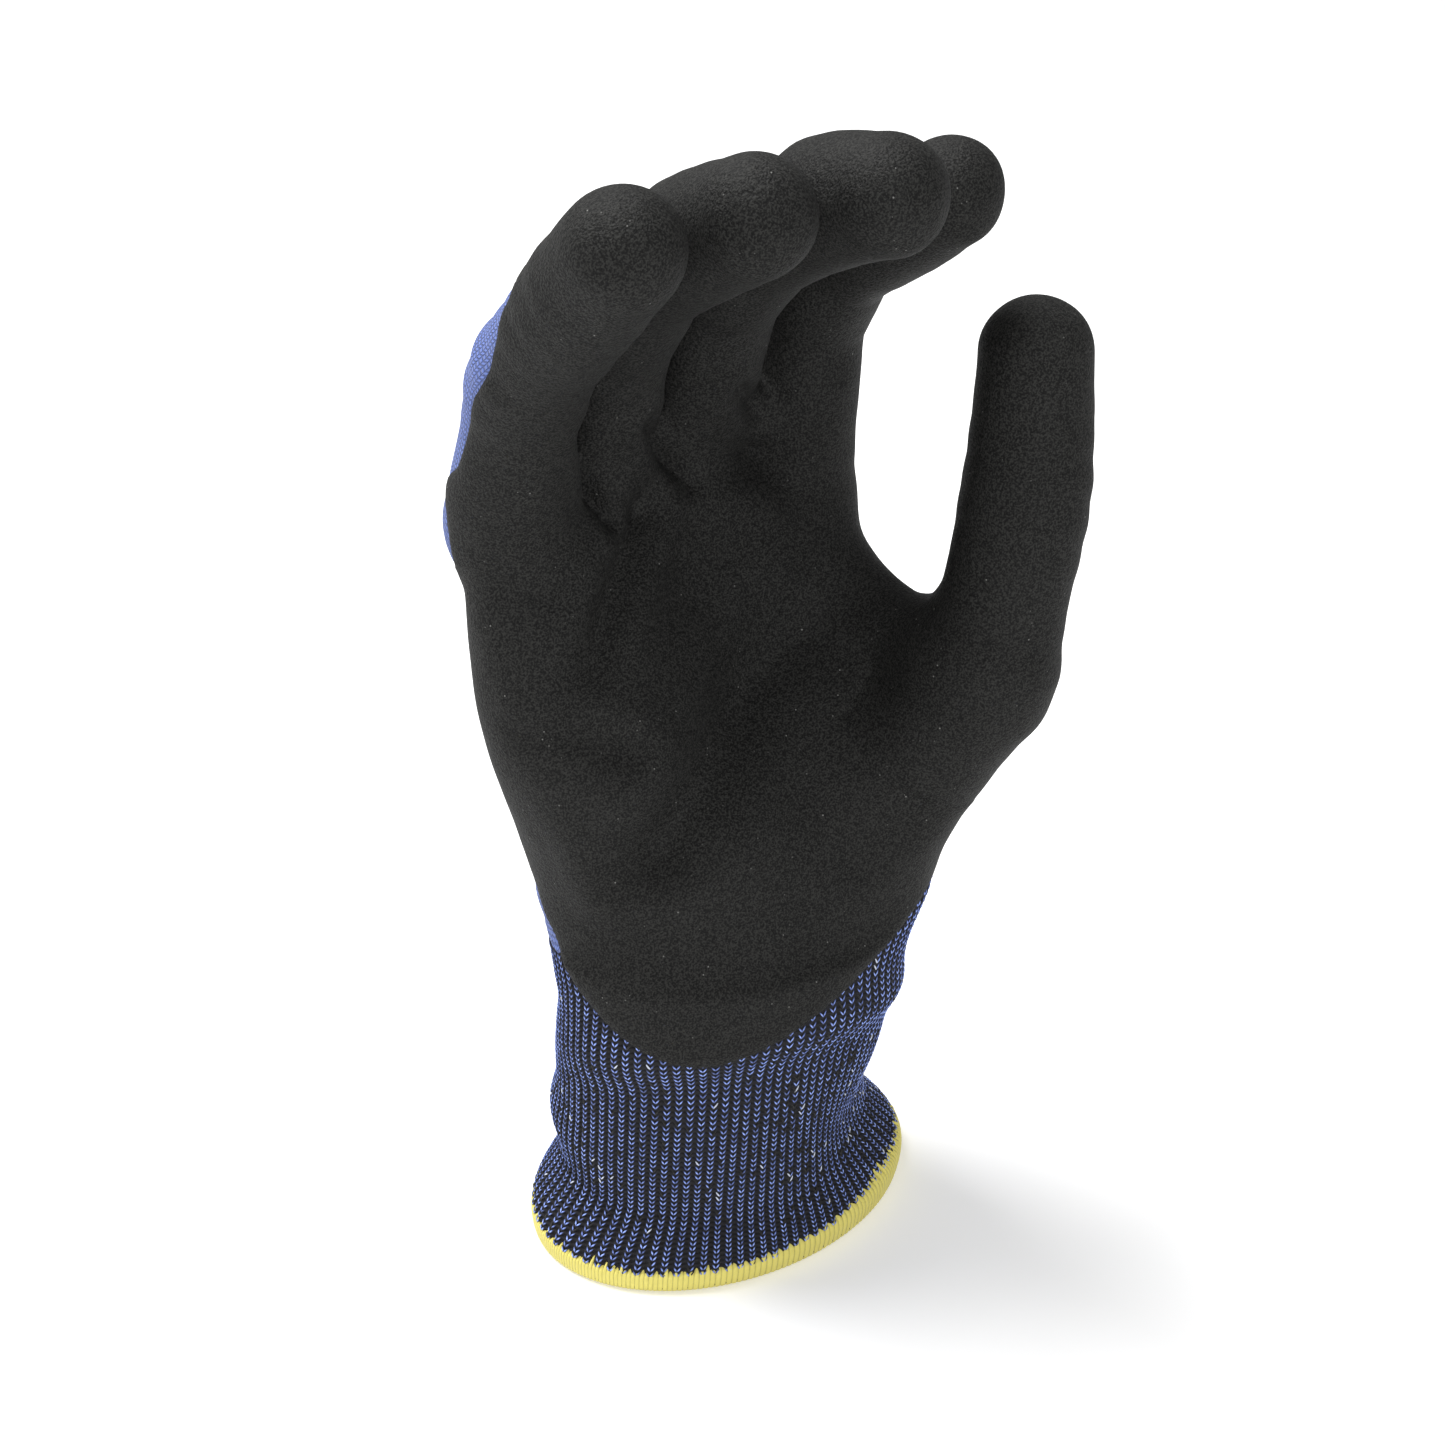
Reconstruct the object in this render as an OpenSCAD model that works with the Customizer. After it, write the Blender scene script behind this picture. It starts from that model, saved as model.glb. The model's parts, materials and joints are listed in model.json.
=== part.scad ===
// Cut resistant work glove for the right hand: a seamless knitted liner, a sandy nitrile
// coating dipped over the palm, the fingers and the thumb, a ribbed cuff with a laid-in
// elastic yarn, and an overlocked hem.  The glove stands on its hem, palm towards -Y,
// thumb towards +X.  Every stall keeps the part-bent curve of the hand former that it was
// dipped on, and bends at its flex zones.

/* [Cuff] */
// Width of the cuff mouth at the hem
mouth_w = 86; // [70:1:100]
// Depth of the cuff mouth at the hem
mouth_d = 60; // [50:1:76]
// Width of the cuff at the wrist
wrist_w = 70; // [60:1:78]
// Depth of the cuff at the wrist
wrist_d = 53; // [46:1:62]
// Height of the wrist flex zone's middle above the floor
wrist_h = 42; // [34:1:52]
// Height from the wrist to the point where the hand leans away
heel_rise = 20; // [16:1:26]
// Thickness of the rib knit
rib_wall = 1.8; // [1.2:0.1:2.6]
// Number of knitted ribs round the cuff
rib_count = 88; // [60:1:96]
// Depth of the furrow between two ribs
rib_depth = 0.5; // [0.2:0.1:0.8]
// Height of the overlocked hem
hem_h = 5; // [4:0.5:8]
// Thickness of the hem thread outside and inside the cuff edge
hem_wrap = 0.9; // [0.5:0.1:1.5]
// Number of turns of the elastic yarn
yarn_turns = 5; // [3:1:7]
// Diameter of the elastic yarn
yarn_d = 0.8; // [0.5:0.1:1]

/* [Skin] */
// Thickness of the knitted liner
liner = 1.2; // [0.8:0.1:1.8]
// Thickness of the nitrile coating
coat = 0.8; // [0.4:0.1:1.2]
// Lean of the hand away from the palm side
lean_back = 18; // [10:1:24]
// Lean of the hand towards the thumb side
lean_side = 3; // [0:1:6]
// Lowest point of the coating's U-shaped edge above the floor
dip_h = 49; // [48:1:56]
// Rise of the coating's edge from its lowest point to the sides of the wrist
dip_rise = 27; // [16:1:34]
// Part of a full turn that stays uncoated along the back of a stall
bare_angle = 96; // [60:2:130]

/* [Index stall] */
// Knuckle centre from the wrist: thumb side, back, up
index_at = [28.5, 0, 86]; // [-60:0.5:110]
// Lengths from knuckle to middle joint, to end joint, to tip centre
index_len = [42, 27.5, 18.5]; // [12:0.5:60]
// Outer radii at the knuckle, the two joints and the tip
index_r = [12, 10.7, 10, 8.9]; // [6:0.1:16]
// Bends towards the palm at the knuckle and the two joints
index_bend = [20, 50, 0]; // [0:1:60]
// Sideways lean towards the thumb
index_lean = -4; // [-30:0.5:30]

/* [Middle stall] */
// Knuckle centre from the wrist: thumb side, back, up
middle_at = [5, 6.5, 97]; // [-60:0.5:110]
// Lengths from knuckle to middle joint, to end joint, to tip centre
middle_len = [47, 32, 18.5]; // [12:0.5:60]
// Outer radii at the knuckle, the two joints and the tip
middle_r = [11.8, 10.8, 10.3, 9.2]; // [6:0.1:16]
// Bends towards the palm at the knuckle and the two joints
middle_bend = [40, 36, 10]; // [0:1:60]
// Sideways lean towards the thumb
middle_lean = -8.5; // [-30:0.5:30]

/* [Ring stall] */
// Knuckle centre from the wrist: thumb side, back, up
ring_at = [-17, 6, 94.5]; // [-60:0.5:110]
// Lengths from knuckle to middle joint, to end joint, to tip centre
ring_len = [43, 29.5, 18.5]; // [12:0.5:60]
// Outer radii at the knuckle, the two joints and the tip
ring_r = [11.4, 10.5, 10.1, 8.9]; // [6:0.1:16]
// Bends towards the palm at the knuckle and the two joints
ring_bend = [38, 33, 12]; // [0:1:60]
// Sideways lean towards the thumb
ring_lean = -12; // [-30:0.5:30]

/* [Little stall] */
// Knuckle centre from the wrist: thumb side, back, up
little_at = [-37.5, 0, 90.5]; // [-60:0.5:110]
// Lengths from knuckle to middle joint, to end joint, to tip centre
little_len = [34.5, 22, 16.5]; // [12:0.5:60]
// Outer radii at the knuckle, the two joints and the tip
little_r = [10.6, 9.8, 9.6, 8.8]; // [6:0.1:16]
// Bends towards the palm at the knuckle and the two joints
little_bend = [36, 27, 4]; // [0:1:60]
// Sideways lean towards the thumb
little_lean = -16; // [-30:0.5:30]

/* [Thumb stall] */
// Centre of the thumb's root from the wrist: thumb side, back, up
thumb_at = [22, -13, 17]; // [-60:0.5:110]
// Lengths from root to knuckle, to end joint, to tip centre
thumb_len = [46, 34.5, 26]; // [12:0.5:60]
// Outer radii at the root, the knuckle, the end joint and the tip
thumb_r = [16.5, 12.4, 11.5, 10.5]; // [6:0.1:20]
// Sideways leans of the three lengths
thumb_lean = [16, 10.5, 4.5]; // [-30:0.5:30]
// Leans of the three lengths towards the palm side
thumb_tilt = [42, 14.5, 6]; // [-30:0.5:60]

/* [Flex zones] */
// Half the length of a stall's root flex zone
root_flex = 5.5; // [5:0.1:6.5]
// Half the length of a stall's middle flex zone
mid_flex = 8; // [7:0.1:8.5]
// Half the length of a stall's end flex zone
end_flex = 4.6; // [4:0.1:5]
// Distance from a stall's knuckle centre to its root flex zone's middle
root_out = 18.5; // [17:0.5:20]
// Half the length of the thumb's knuckle flex zone
thumb_flex = 6.6; // [6:0.1:8]
// Half the length of the wrist flex zone
wrist_flex = 5; // [4:0.1:6]

/* [Hidden] */
STALLS = ["index", "middle", "ring", "little"];
PARTS = ["base", "mid", "tip"];

around = 16;                 // sides of a lofted stall or palm form
skin = liner + coat;
hand_z = wrist_h + heel_rise;
rib_top = 8;                 // where rib knit turns into jersey knit, above the lean point
coat_back = 8;               // how far round the sides the coating reaches towards the back
tuck = 0.6;                  // clearance between a stall and the palm skin beside it
bond = 0.03;                 // clearance between a stall's coating and its knit

knit = "#5f74be";
rib = "#3c445a";
nitrile = "#282828";
yellow = "#e0d476";
elastic = "#d8d8d2";

// ---------- directions and places ----------

function unit(v) = v / norm(v);

// Direction of a stall's length: bent towards the palm, then leaned sideways.
function stall_dir(bend, lean) =
    [cos(bend) * sin(lean), -sin(bend), cos(bend) * cos(lean)];

// Axis that a stall bends about.
function stall_axis(lean) = [cos(lean), 0, -sin(lean)];

function thumb_dir(i) = [sin(thumb_lean[i]), -sin(thumb_tilt[i]) * cos(thumb_lean[i]),
                         cos(thumb_tilt[i]) * cos(thumb_lean[i])];

// A stall is [directions of its lengths, joint centres, radii, bend axes].
function chain(at, lens, dirs) =
    let (p1 = at + lens[0] * dirs[0], p2 = p1 + lens[1] * dirs[1], p3 = p2 + lens[2] * dirs[2])
    [at, p1, p2, p3];

function finger(at, lens, r, bend, lean) =
    let (dirs = [for (i = [0:2]) stall_dir(bend[0] + (i > 0 ? bend[1] : 0) + (i > 1 ? bend[2] : 0),
                                           lean)])
    [dirs, chain(at, lens, dirs), r, [for (i = [0:2]) stall_axis(lean)]];

function thumb() =
    let (dirs = [for (i = [0:2]) thumb_dir(i)],
         axis = [for (i = [0:2]) unit(cross(thumb_dir(min(i + 1, 2)), thumb_dir(min(i, 1))))])
    [dirs, chain(thumb_at, thumb_len, dirs), thumb_r, [for (i = [0:2]) axis[i] * (axis[i][0] < 0 ? -1 : 1)]];

function stall(name) =
    name == "index" ? finger(index_at, index_len, index_r, index_bend, index_lean)
    : name == "middle" ? finger(middle_at, middle_len, middle_r, middle_bend, middle_lean)
    : name == "ring" ? finger(ring_at, ring_len, ring_r, ring_bend, ring_lean)
    : name == "little" ? finger(little_at, little_len, little_r, little_bend, little_lean)
    : thumb();

function stall_len(s, i) = norm(s[1][i + 1] - s[1][i]);

// Radius of length i of a stall, t from 0 at its start to 1 at its end.
function stall_r(s, i, t) = s[2][i] + t * (s[2][i + 1] - s[2][i]);

// Side vectors of length i: the bend axis made square to the length, and the back.
function side_u(s, i) = unit(s[3][i] - (s[3][i] * s[0][i]) * s[0][i]);
function side_v(s, i) = cross(s[0][i], side_u(s, i));

module hand() {
    translate([0, 0, hand_z]) rotate([-lean_back, 0, 0]) rotate([0, lean_side, 0]) children();
}

// Puts +Z along length i of a stall, +X along its bend axis and +Y towards its back.
module along(s, i, out) {
    u = side_u(s, i);
    v = side_v(s, i);
    d = s[0][i];
    p = s[1][i] + out * d;
    multmatrix([[u[0], v[0], d[0], p[0]],
                [u[1], v[1], d[1], p[1]],
                [u[2], v[2], d[2], p[2]],
                [0, 0, 0, 1]]) children();
}

// ---------- lofted shells ----------

// Closed shell between an outer and an inner stack of rings with the same number of points.
module shell(outer, inner) {
    n = len(outer[0]);
    m = len(outer);
    pts = concat([for (r = outer) for (p = r) p], [for (r = inner) for (p = r) p]);
    base = m * n;
    wall = [for (j = [0:m - 2]) for (k = [0:n - 1])
            let (a = j * n + k, b = j * n + (k + 1) % n)
            each [[a, a + n, b], [b, a + n, b + n],
                  [base + a, base + b, base + a + n], [base + b, base + b + n, base + a + n]]];
    rims = [for (k = [0:n - 1])
            let (b = (k + 1) % n, t = (m - 1) * n)
            each [[k, b, base + k], [b, base + b, base + k],
                  [t + k, base + t + k, t + b], [t + b, base + t + k, base + t + b]]];
    polyhedron(points = pts, faces = concat(wall, rims), convexity = 6);
}

// How much of the coating lies at angle a round a stall: none in the middle of the back.
function coated(a) = let (off = abs((a - 90 + 540) % 360 - 180)) off > bare_angle / 2 ? 1 : 0;

function ring_at_point(c, u, v, r, drop) =
    [for (k = [0:around - 1]) let (a = 360 * k / around, q = r - drop * (1 - coated(a)))
     c + q * (cos(a) * u + sin(a) * v)];

// Ring across a flex zone that turns from direction d0 to d1 about its middle c.
function flex_ring(c, d0, d1, u0, u1, half, t, r, drop) =
    let (d = unit(d0 * (1 - t) + d1 * t),
         from = c - half * d0,
         to = c + half * d1,
         mid = (1 - t) * (1 - t) * from + 2 * t * (1 - t) * c + t * t * to,
         ax = u0 * (1 - t) + u1 * t,
         u = unit(ax - (ax * d) * d))
    ring_at_point(mid, u, cross(d, u), r, drop);

module flex_shell(c, d0, d1, u0, u1, half, r0, r1, bare) {
    steps = [0, 0.5, 1];
    shell([for (t = steps) flex_ring(c, d0, d1, u0, u1, half, t, r0 + t * (r1 - r0), bare)],
          [for (t = steps) flex_ring(c, d0, d1, u0, u1, half, t, r0 + t * (r1 - r0) - skin, 0)]);
}

// ---------- stalls ----------

// Where the stiff part of length i starts and ends, measured along that length.
function seg_from(name, i) =
    name == "thumb" ? (i == 1 ? thumb_flex : end_flex + 1)
    : i == 0 ? root_out + root_flex : i == 1 ? mid_flex : end_flex;
function seg_to(name, s, i) =
    stall_len(s, i) - (name == "thumb" ? (i == 0 ? thumb_flex : end_flex + 1)
                       : i == 0 ? mid_flex : end_flex);

// Radius along the stiff part, with the slight belly that a filled stall has.
function belly_r(s, i, a) =
    let (l = stall_len(s, i), t = a / l) stall_r(s, i, t);

// Revolved sleeve between two surfaces that lie off0 and off1 inside the outer one.
module sleeve(name, s, i, off0, off1, sweep) {
    a = seg_from(name, i);
    b = seg_to(name, s, i);
    swell = 0.35;
    steps = [0:0.25:1];
    along(s, i, 0) rotate([0, 0, 270 - sweep / 2]) rotate_extrude(angle = sweep, $fn = 45)
        polygon(concat(
            [for (t = steps) [belly_r(s, i, a + t * (b - a)) + swell * sin(180 * t) - off0,
                              a + t * (b - a)]],
            [for (t = steps) [belly_r(s, i, b - t * (b - a)) + swell * sin(180 * t) - off1,
                              b - t * (b - a)]]));
}

// Revolved fingertip: a sleeve closed by a round end about the tip centre.
module tip(name, s, off0, off1) {
    a = seg_from(name, 2);
    l = stall_len(s, 2);
    r0 = stall_r(s, 2, a / l);
    r1 = s[2][3];
    steps = [0:15:90];
    along(s, 2, 0) rotate_extrude($fn = 45)
        polygon(concat(
            [[r0 - off0, a]],
            [for (q = steps) [(r1 - off0) * cos(q), l + (r1 - off0) * sin(q)]],
            [for (q = steps) [(r1 - off1) * sin(q), l + (r1 - off1) * cos(q)]],
            [[r0 - off1, a]]));
}

module stall_liner(name, i) {
    s = stall(name);
    color(knit) hand()
        if (i == 2) tip(name, s, coat, skin);
        else sleeve(name, s, i, coat, skin, 360);
}

module stall_coating(name, i) {
    s = stall(name);
    color(nitrile) hand()
        if (i == 2) tip(name, s, 0, coat - bond);
        else sleeve(name, s, i, 0, coat - bond, name == "thumb" ? 360 : 360 - bare_angle);
}

module stall_flex(name, k) {
    s = stall(name);
    d = s[0];
    color(nitrile) hand()
        if (k == 0) {
            t0 = (root_out - root_flex) / stall_len(s, 0);
            t1 = (root_out + root_flex) / stall_len(s, 0);
            flex_shell(s[1][0] + root_out * d[0], d[0], d[0], side_u(s, 0), side_u(s, 0),
                       root_flex, stall_r(s, 0, t0), stall_r(s, 0, t1), coat);
        } else {
            half = stall_len(s, k - 1) - seg_to(name, s, k - 1);
            flex_shell(s[1][k], d[k - 1], d[k], side_u(s, k - 1), side_u(s, k), half,
                       stall_r(s, k - 1, seg_to(name, s, k - 1) / stall_len(s, k - 1)),
                       stall_r(s, k, seg_from(name, k) / stall_len(s, k)),
                       k == 1 && name != "thumb" ? coat : 0);
        }
}

// ---------- palm ----------

module ball(p, r) {
    translate(p) sphere(r, $fn = around);
}

// Oval slice of the wrist, off inside its outer size.
module wrist_slice(off, h = 1) {
    resize([wrist_w - 2 * off, wrist_d - 2 * off, h]) cylinder(r = 1, h = h, $fn = 2 * around);
}

// Stump of a stall from its knuckle to its root flex zone, and over beyond it.
module stump(name, off, over) {
    s = stall(name);
    out = name == "thumb" ? seg_to(name, s, 0) : root_out - root_flex;
    r1 = stall_r(s, 0, out / stall_len(s, 0));
    difference() {
        hull() {
            ball(s[1][0], s[2][0] - off);
            along(s, 0, out - 1) cylinder(r = r1 - off, h = 1 + over, $fn = around);
        }
        for (n = STALLS) if (n != name) clear_of(n, off);
    }
}

// Solid form of the hand's palm from the wrist to the stumps, off inside its outer size.
// Its open ends are carried on by over, so that an inner form cuts right through them.
module palm_form(off, over = 0) {
    heel = [little_at[0] + 14, 0, 11];
    edge = [little_at[0] + 7, 0, 52];
    edge_r = 15 - off;
    hull() {
        translate([0, 0, wrist_h + wrist_flex]) wrist_slice(off);
        hand() wrist_slice(off);
    }
    if (over > 0) translate([0, 0, wrist_h + wrist_flex - over]) wrist_slice(off, over + 0.5);
    hand() {
        difference() {
            union() {
                for (i = [0:2]) hull() {
                    wrist_slice(off);
                    knuckle(STALLS[i], off);
                    knuckle(STALLS[i + 1], off);
                    if (i == 2) ball(heel, edge_r);
                    if (i == 2) ball(edge, edge_r);
                    if (i == 0) ball(thumb_at, thumb_r[0] - off);
                    if (i == 0) ball([wrist_w / 2 - 9.5, -5, 7], 12 - off);
                }
                hull() {
                    ball(thumb_at, thumb_r[0] - off);
                    ball(edge, edge_r);
                    ball(middle_at + [0, -4, -16], 12 - off);
                }
                hull() {
                    ball(thumb_at, thumb_r[0] - off);
                    ball(thumb_at + 26 * stall("thumb")[0][0], 11.4 - off);
                    ball(index_at + [1, -1, -14], 9.5 - off);
                }
                for (i = [0:2]) hull() {
                    web(STALLS[i], off);
                    web(STALLS[i + 1], off);
                }
            }
            for (n = STALLS) clear_of(n, off);
        }
        stump("thumb", off, over);
        for (n = STALLS) stump(n, off, over);
    }
}

module knuckle(name, off) {
    s = stall(name);
    ball(s[1][0], s[2][0] - off);
}

module web(name, off) {
    s = stall(name);
    out = root_out - root_flex - 4;
    ball(s[1][0], s[2][0] - off);
    ball(s[1][0] + out * s[0][0], s[2][0] - 3.5 - off);
}

// Room that a stall sweeps as it bends, off wider all round.
module clear_of(name, off) {
    s = stall(name);
    w = 2 * (s[2][0] + tuck + off);
    along(s, 0, root_out - root_flex - off) translate([-w / 2, -35, 0]) cube([w, 70, 60]);
}

// Zone of the rib knit below the jersey knit of the palm.
module rib_zone() {
    hand() translate([-100, -100, rib_top - 100]) cube([200, 200, 100]);
}

// Everything above the U-shaped dip line and on the palm side of the coating's back edge.
module dip_zone() {
    half = wrist_w / 2 + 20;
    steps = 16;
    low = [for (i = [0:steps]) let (x = -half + 2 * half * i / steps)
           [x, dip_h + dip_rise * pow(x / (wrist_w / 2), 2)]];
    translate([0, coat_back + 30, 0]) rotate([90, 0, 0]) linear_extrude(height = 200)
        polygon(concat(low, [[half, 330], [-half, 330]]));
}

module back_cut() {
    hand() translate([-100, coat_back, -60]) cube([200, 100, 260]);
}

module wrist_rib() {
    color(rib) intersection() {
        difference() {
            palm_form(coat);
            palm_form(skin, 2);
        }
        rib_zone();
    }
}

module palm_liner() {
    color(knit) difference() {
        palm_form(coat);
        palm_form(skin, 2);
        rib_zone();
    }
}

module palm_coating() {
    color(nitrile) intersection() {
        difference() {
            palm_form(0);
            palm_form(coat, 2);
            back_cut();
        }
        dip_zone();
    }
}

// ---------- cuff ----------

// Half width and half depth of the cuff's outer face at height z.
function cuff_half(z) =
    let (t = z / wrist_h, k = 1 - pow(1 - min(1, t), 2) * (1 + 0.6 * min(1, t)))
    [mouth_w / 2 + k * (wrist_w - mouth_w) / 2, mouth_d / 2 + k * (wrist_d - mouth_d) / 2];

function cuff_ring(z, off, n, furrow) =
    let (h = cuff_half(z))
    [for (k = [0:n - 1])
     let (a = 360 * k / n, q = off + (k % 2 == 1 ? furrow : 0))
     [(h[0] - q) * cos(a), (h[1] - q) * sin(a), z]];

module cuff_rib() {
    spans = 3;
    rise = wrist_h - wrist_flex - hem_wrap;
    zs = [for (i = [0:spans]) hem_wrap + rise * i / spans];
    color(rib) shell([for (z = zs) cuff_ring(z, hem_wrap, 2 * rib_count, rib_depth)],
                     [for (z = zs) cuff_ring(z, hem_wrap + rib_wall, 2 * rib_count, 0)]);
}

// Rib knit that folds between the standing cuff and the hand.
module wrist_flex() {
    steps = [0:0.5:1];
    lo = cuff_half(wrist_h - wrist_flex);
    function oval(t, off) =
        let (z = wrist_h - wrist_flex + 2 * wrist_flex * t,
             w = lo[0] - hem_wrap + t * (wrist_w / 2 - coat - lo[0] + hem_wrap),
             d = lo[1] - hem_wrap + t * (wrist_d / 2 - coat - lo[1] + hem_wrap))
        [for (k = [0:2 * around - 1]) let (a = 360 * k / (2 * around))
         [(w - off) * cos(a), (d - off) * sin(a), z]];
    color(rib) shell([for (t = steps) oval(t, 0)], [for (t = steps) oval(t, liner)]);
}

// Overlock stitching that wraps the edge of the cuff, inside and out.
module hem_overlock() {
    crown = hem_wrap / 2;
    inner = 2 * hem_wrap + rib_wall;
    levels = [0, hem_wrap, hem_h - crown, hem_h];
    rounds = [crown, 0, 0, crown];
    slot = [hem_wrap, hem_h + 1];
    color(yellow) difference() {
        shell([for (i = [0:3]) cuff_ring(levels[i], rounds[i], rib_count, 0)],
              [for (i = [0:3]) cuff_ring(levels[i], inner - rounds[i], rib_count, 0)]);
        shell([for (z = slot) cuff_ring(z, hem_wrap, rib_count, 0)],
              [for (z = slot) cuff_ring(z, hem_wrap + rib_wall, rib_count, 0)]);
    }
}

// Elastic yarn laid into the cuff in a rising spiral, against its inner face.
module cuff_elastic() {
    per = 24;
    z0 = hem_h + 4;
    z1 = wrist_h - wrist_flex - 3;
    steps = yarn_turns * per;
    function at(k) =
        let (z = z0 + (z1 - z0) * k / steps, h = cuff_half(z),
             q = hem_wrap + rib_wall + yarn_d / 2 + 0.05, a = 360 * k / per)
        [(h[0] - q) * cos(a), (h[1] - q) * sin(a), z];
    function side(k) = let (a = 360 * k / per) unit([mouth_d * cos(a), mouth_w * sin(a), 0]);
    pts = [for (k = [0:steps]) for (c = [45:90:315])
           at(k) + yarn_d / 2 * (cos(c) * side(k) + [0, 0, sin(c)])];
    faces = [for (k = [0:steps - 1]) for (c = [0:3])
             let (a = 4 * k + c, b = 4 * k + (c + 1) % 4)
             each [[a, b, a + 4], [b, b + 4, a + 4]]];
    e = 4 * steps;
    color(elastic) polyhedron(points = pts, convexity = 8,
        faces = concat(faces, [[0, 3, 2], [0, 2, 1], [e, e + 1, e + 2], [e, e + 2, e + 3]]));
}

// ---------- nodes ----------

hem_overlock();
cuff_rib();
cuff_elastic();
wrist_flex();
wrist_rib();
palm_liner();
palm_coating();
for (s = STALLS) {
    for (i = [0:2]) {
        stall_liner(s, i);
        stall_coating(s, i);
    }
    stall_flex(s, 0);
    stall_flex(s, 1);
    stall_flex(s, 2);
}
stall_liner("thumb", 1);  // thumb_base_liner
stall_coating("thumb", 1);  // thumb_base_coating
stall_liner("thumb", 2);  // thumb_tip_liner
stall_coating("thumb", 2);  // thumb_tip_coating
stall_flex("thumb", 1);  // thumb_root_flex
stall_flex("thumb", 2);  // thumb_end_flex
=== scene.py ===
"""Dresses the cut resistant glove: knit, dipped coating, ribbed cuff and overlocked hem."""

import json

import bpy
import numpy as np
from bpy.props import (FloatProperty, FloatVectorProperty, IntProperty, PointerProperty)
from mathutils import Matrix, Vector


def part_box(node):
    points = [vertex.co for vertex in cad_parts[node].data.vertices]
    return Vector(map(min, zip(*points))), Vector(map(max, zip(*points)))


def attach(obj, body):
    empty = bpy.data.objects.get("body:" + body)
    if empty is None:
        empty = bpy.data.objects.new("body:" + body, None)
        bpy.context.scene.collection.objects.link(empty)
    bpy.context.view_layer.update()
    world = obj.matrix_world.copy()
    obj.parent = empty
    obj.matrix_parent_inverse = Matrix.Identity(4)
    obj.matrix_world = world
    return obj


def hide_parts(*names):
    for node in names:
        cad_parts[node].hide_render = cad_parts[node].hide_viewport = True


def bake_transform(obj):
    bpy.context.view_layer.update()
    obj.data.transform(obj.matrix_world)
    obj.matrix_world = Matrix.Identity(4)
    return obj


bl_info = {
    "name": "Cut resistant glove",
    "version": (1, 0, 0),
    "blender": (4, 5, 0),
    "location": "View3D > Sidebar > Glove",
    "description": "Builds a knitted and dipped work glove over its packed frame",
    "category": "Add Mesh",
}

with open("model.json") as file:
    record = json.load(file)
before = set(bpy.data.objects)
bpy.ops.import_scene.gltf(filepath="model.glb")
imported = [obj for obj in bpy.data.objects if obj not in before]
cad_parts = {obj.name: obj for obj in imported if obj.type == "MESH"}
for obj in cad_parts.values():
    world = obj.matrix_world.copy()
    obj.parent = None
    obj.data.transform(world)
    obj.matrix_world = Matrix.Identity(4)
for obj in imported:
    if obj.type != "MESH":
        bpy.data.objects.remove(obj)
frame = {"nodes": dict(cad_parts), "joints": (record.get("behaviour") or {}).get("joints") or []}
FINGERS = ("index", "middle", "ring", "little")
STALLS = FINGERS + ("thumb",)
THUMB = STALLS.index("thumb")
# the lengths of a stall, and the crease that each starts with
LENGTHS = {"base": "root", "mid": "middle", "tip": "end"}
JOINTS = {j["name"]: j for j in frame["joints"]}
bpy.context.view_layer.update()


# ---------------------------------------------------------------- sizes

def length(name, text, default, low, high):
    """A size in millimetres that the sidebar shows."""
    return FloatProperty(name=name, description=text, default=default, min=low, max=high)


def lengths(name, text, default):
    """Several sizes in millimetres that belong together."""
    return FloatVectorProperty(name=name, description=text, default=default, size=len(default))


def angle(name, text, default):
    """An angle in degrees that the sidebar shows."""
    return FloatProperty(name=name, description=text + ", degrees", default=default,
                         min=-180, max=180)


def number(name, text, default, low, high):
    return IntProperty(name=name, description=text, default=default, min=low, max=high)


def colour(name, text, rgb):
    """A colour as the eye reads it, kept as linear values."""
    linear = [((c / 255 + 0.055) / 1.055) ** 2.4 if c > 10 else c / 255 / 12.92 for c in rgb]
    return FloatVectorProperty(name=name, description=text, default=linear, size=3,
                               subtype="COLOR", min=0, max=1)


class GloveShape(bpy.types.PropertyGroup):
    """Sizes of the glove's skin, in millimetres."""

    coat: length("Coating", "Thickness of the nitrile coating", 0.8, 0.2, 1.5)
    step: length("Net", "Spacing of the net that the skin is made from", 1.0, 0.7, 3)
    lean_back: angle("Lean back", "Lean of the hand away from its palm", 18)
    lean_side: angle("Lean side", "Lean of the hand towards the thumb", 3)
    heel: length("Heel", "Height from the wrist fold to where the hand leans", 20, 10, 30)
    root_out: length("Root", "Distance from a knuckle to its stall's root fold", 18.5, 10, 30)
    index_r: lengths("Index radii", "Knuckle, joints and tip", (11.2, 9.8, 10.4, 9.8))
    middle_r: lengths("Middle radii", "Knuckle, joints and tip", (11.8, 11.0, 10.9, 10.3))
    ring_r: lengths("Ring radii", "Knuckle, joints and tip", (11.4, 10.8, 10.7, 10.2))
    little_r: lengths("Little radii", "Knuckle, joints and tip", (12.5, 9.8, 10.5, 10.3))
    thumb_r: lengths("Thumb radii", "Root, joints and tip", (16.5, 12.4, 11.5, 10.5))
    filled: lengths("Filled", "How much further each stall is filled out at its tip, index to "
                    "little finger and thumb", (-2.4, -4.6, -1.8, 6.0, 0))
    lift: lengths("Lift", "How much higher each stall's tip is held, index to little finger and "
                  "thumb", (-1.2, -1.0, 0.6, 2.0, 0))


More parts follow.
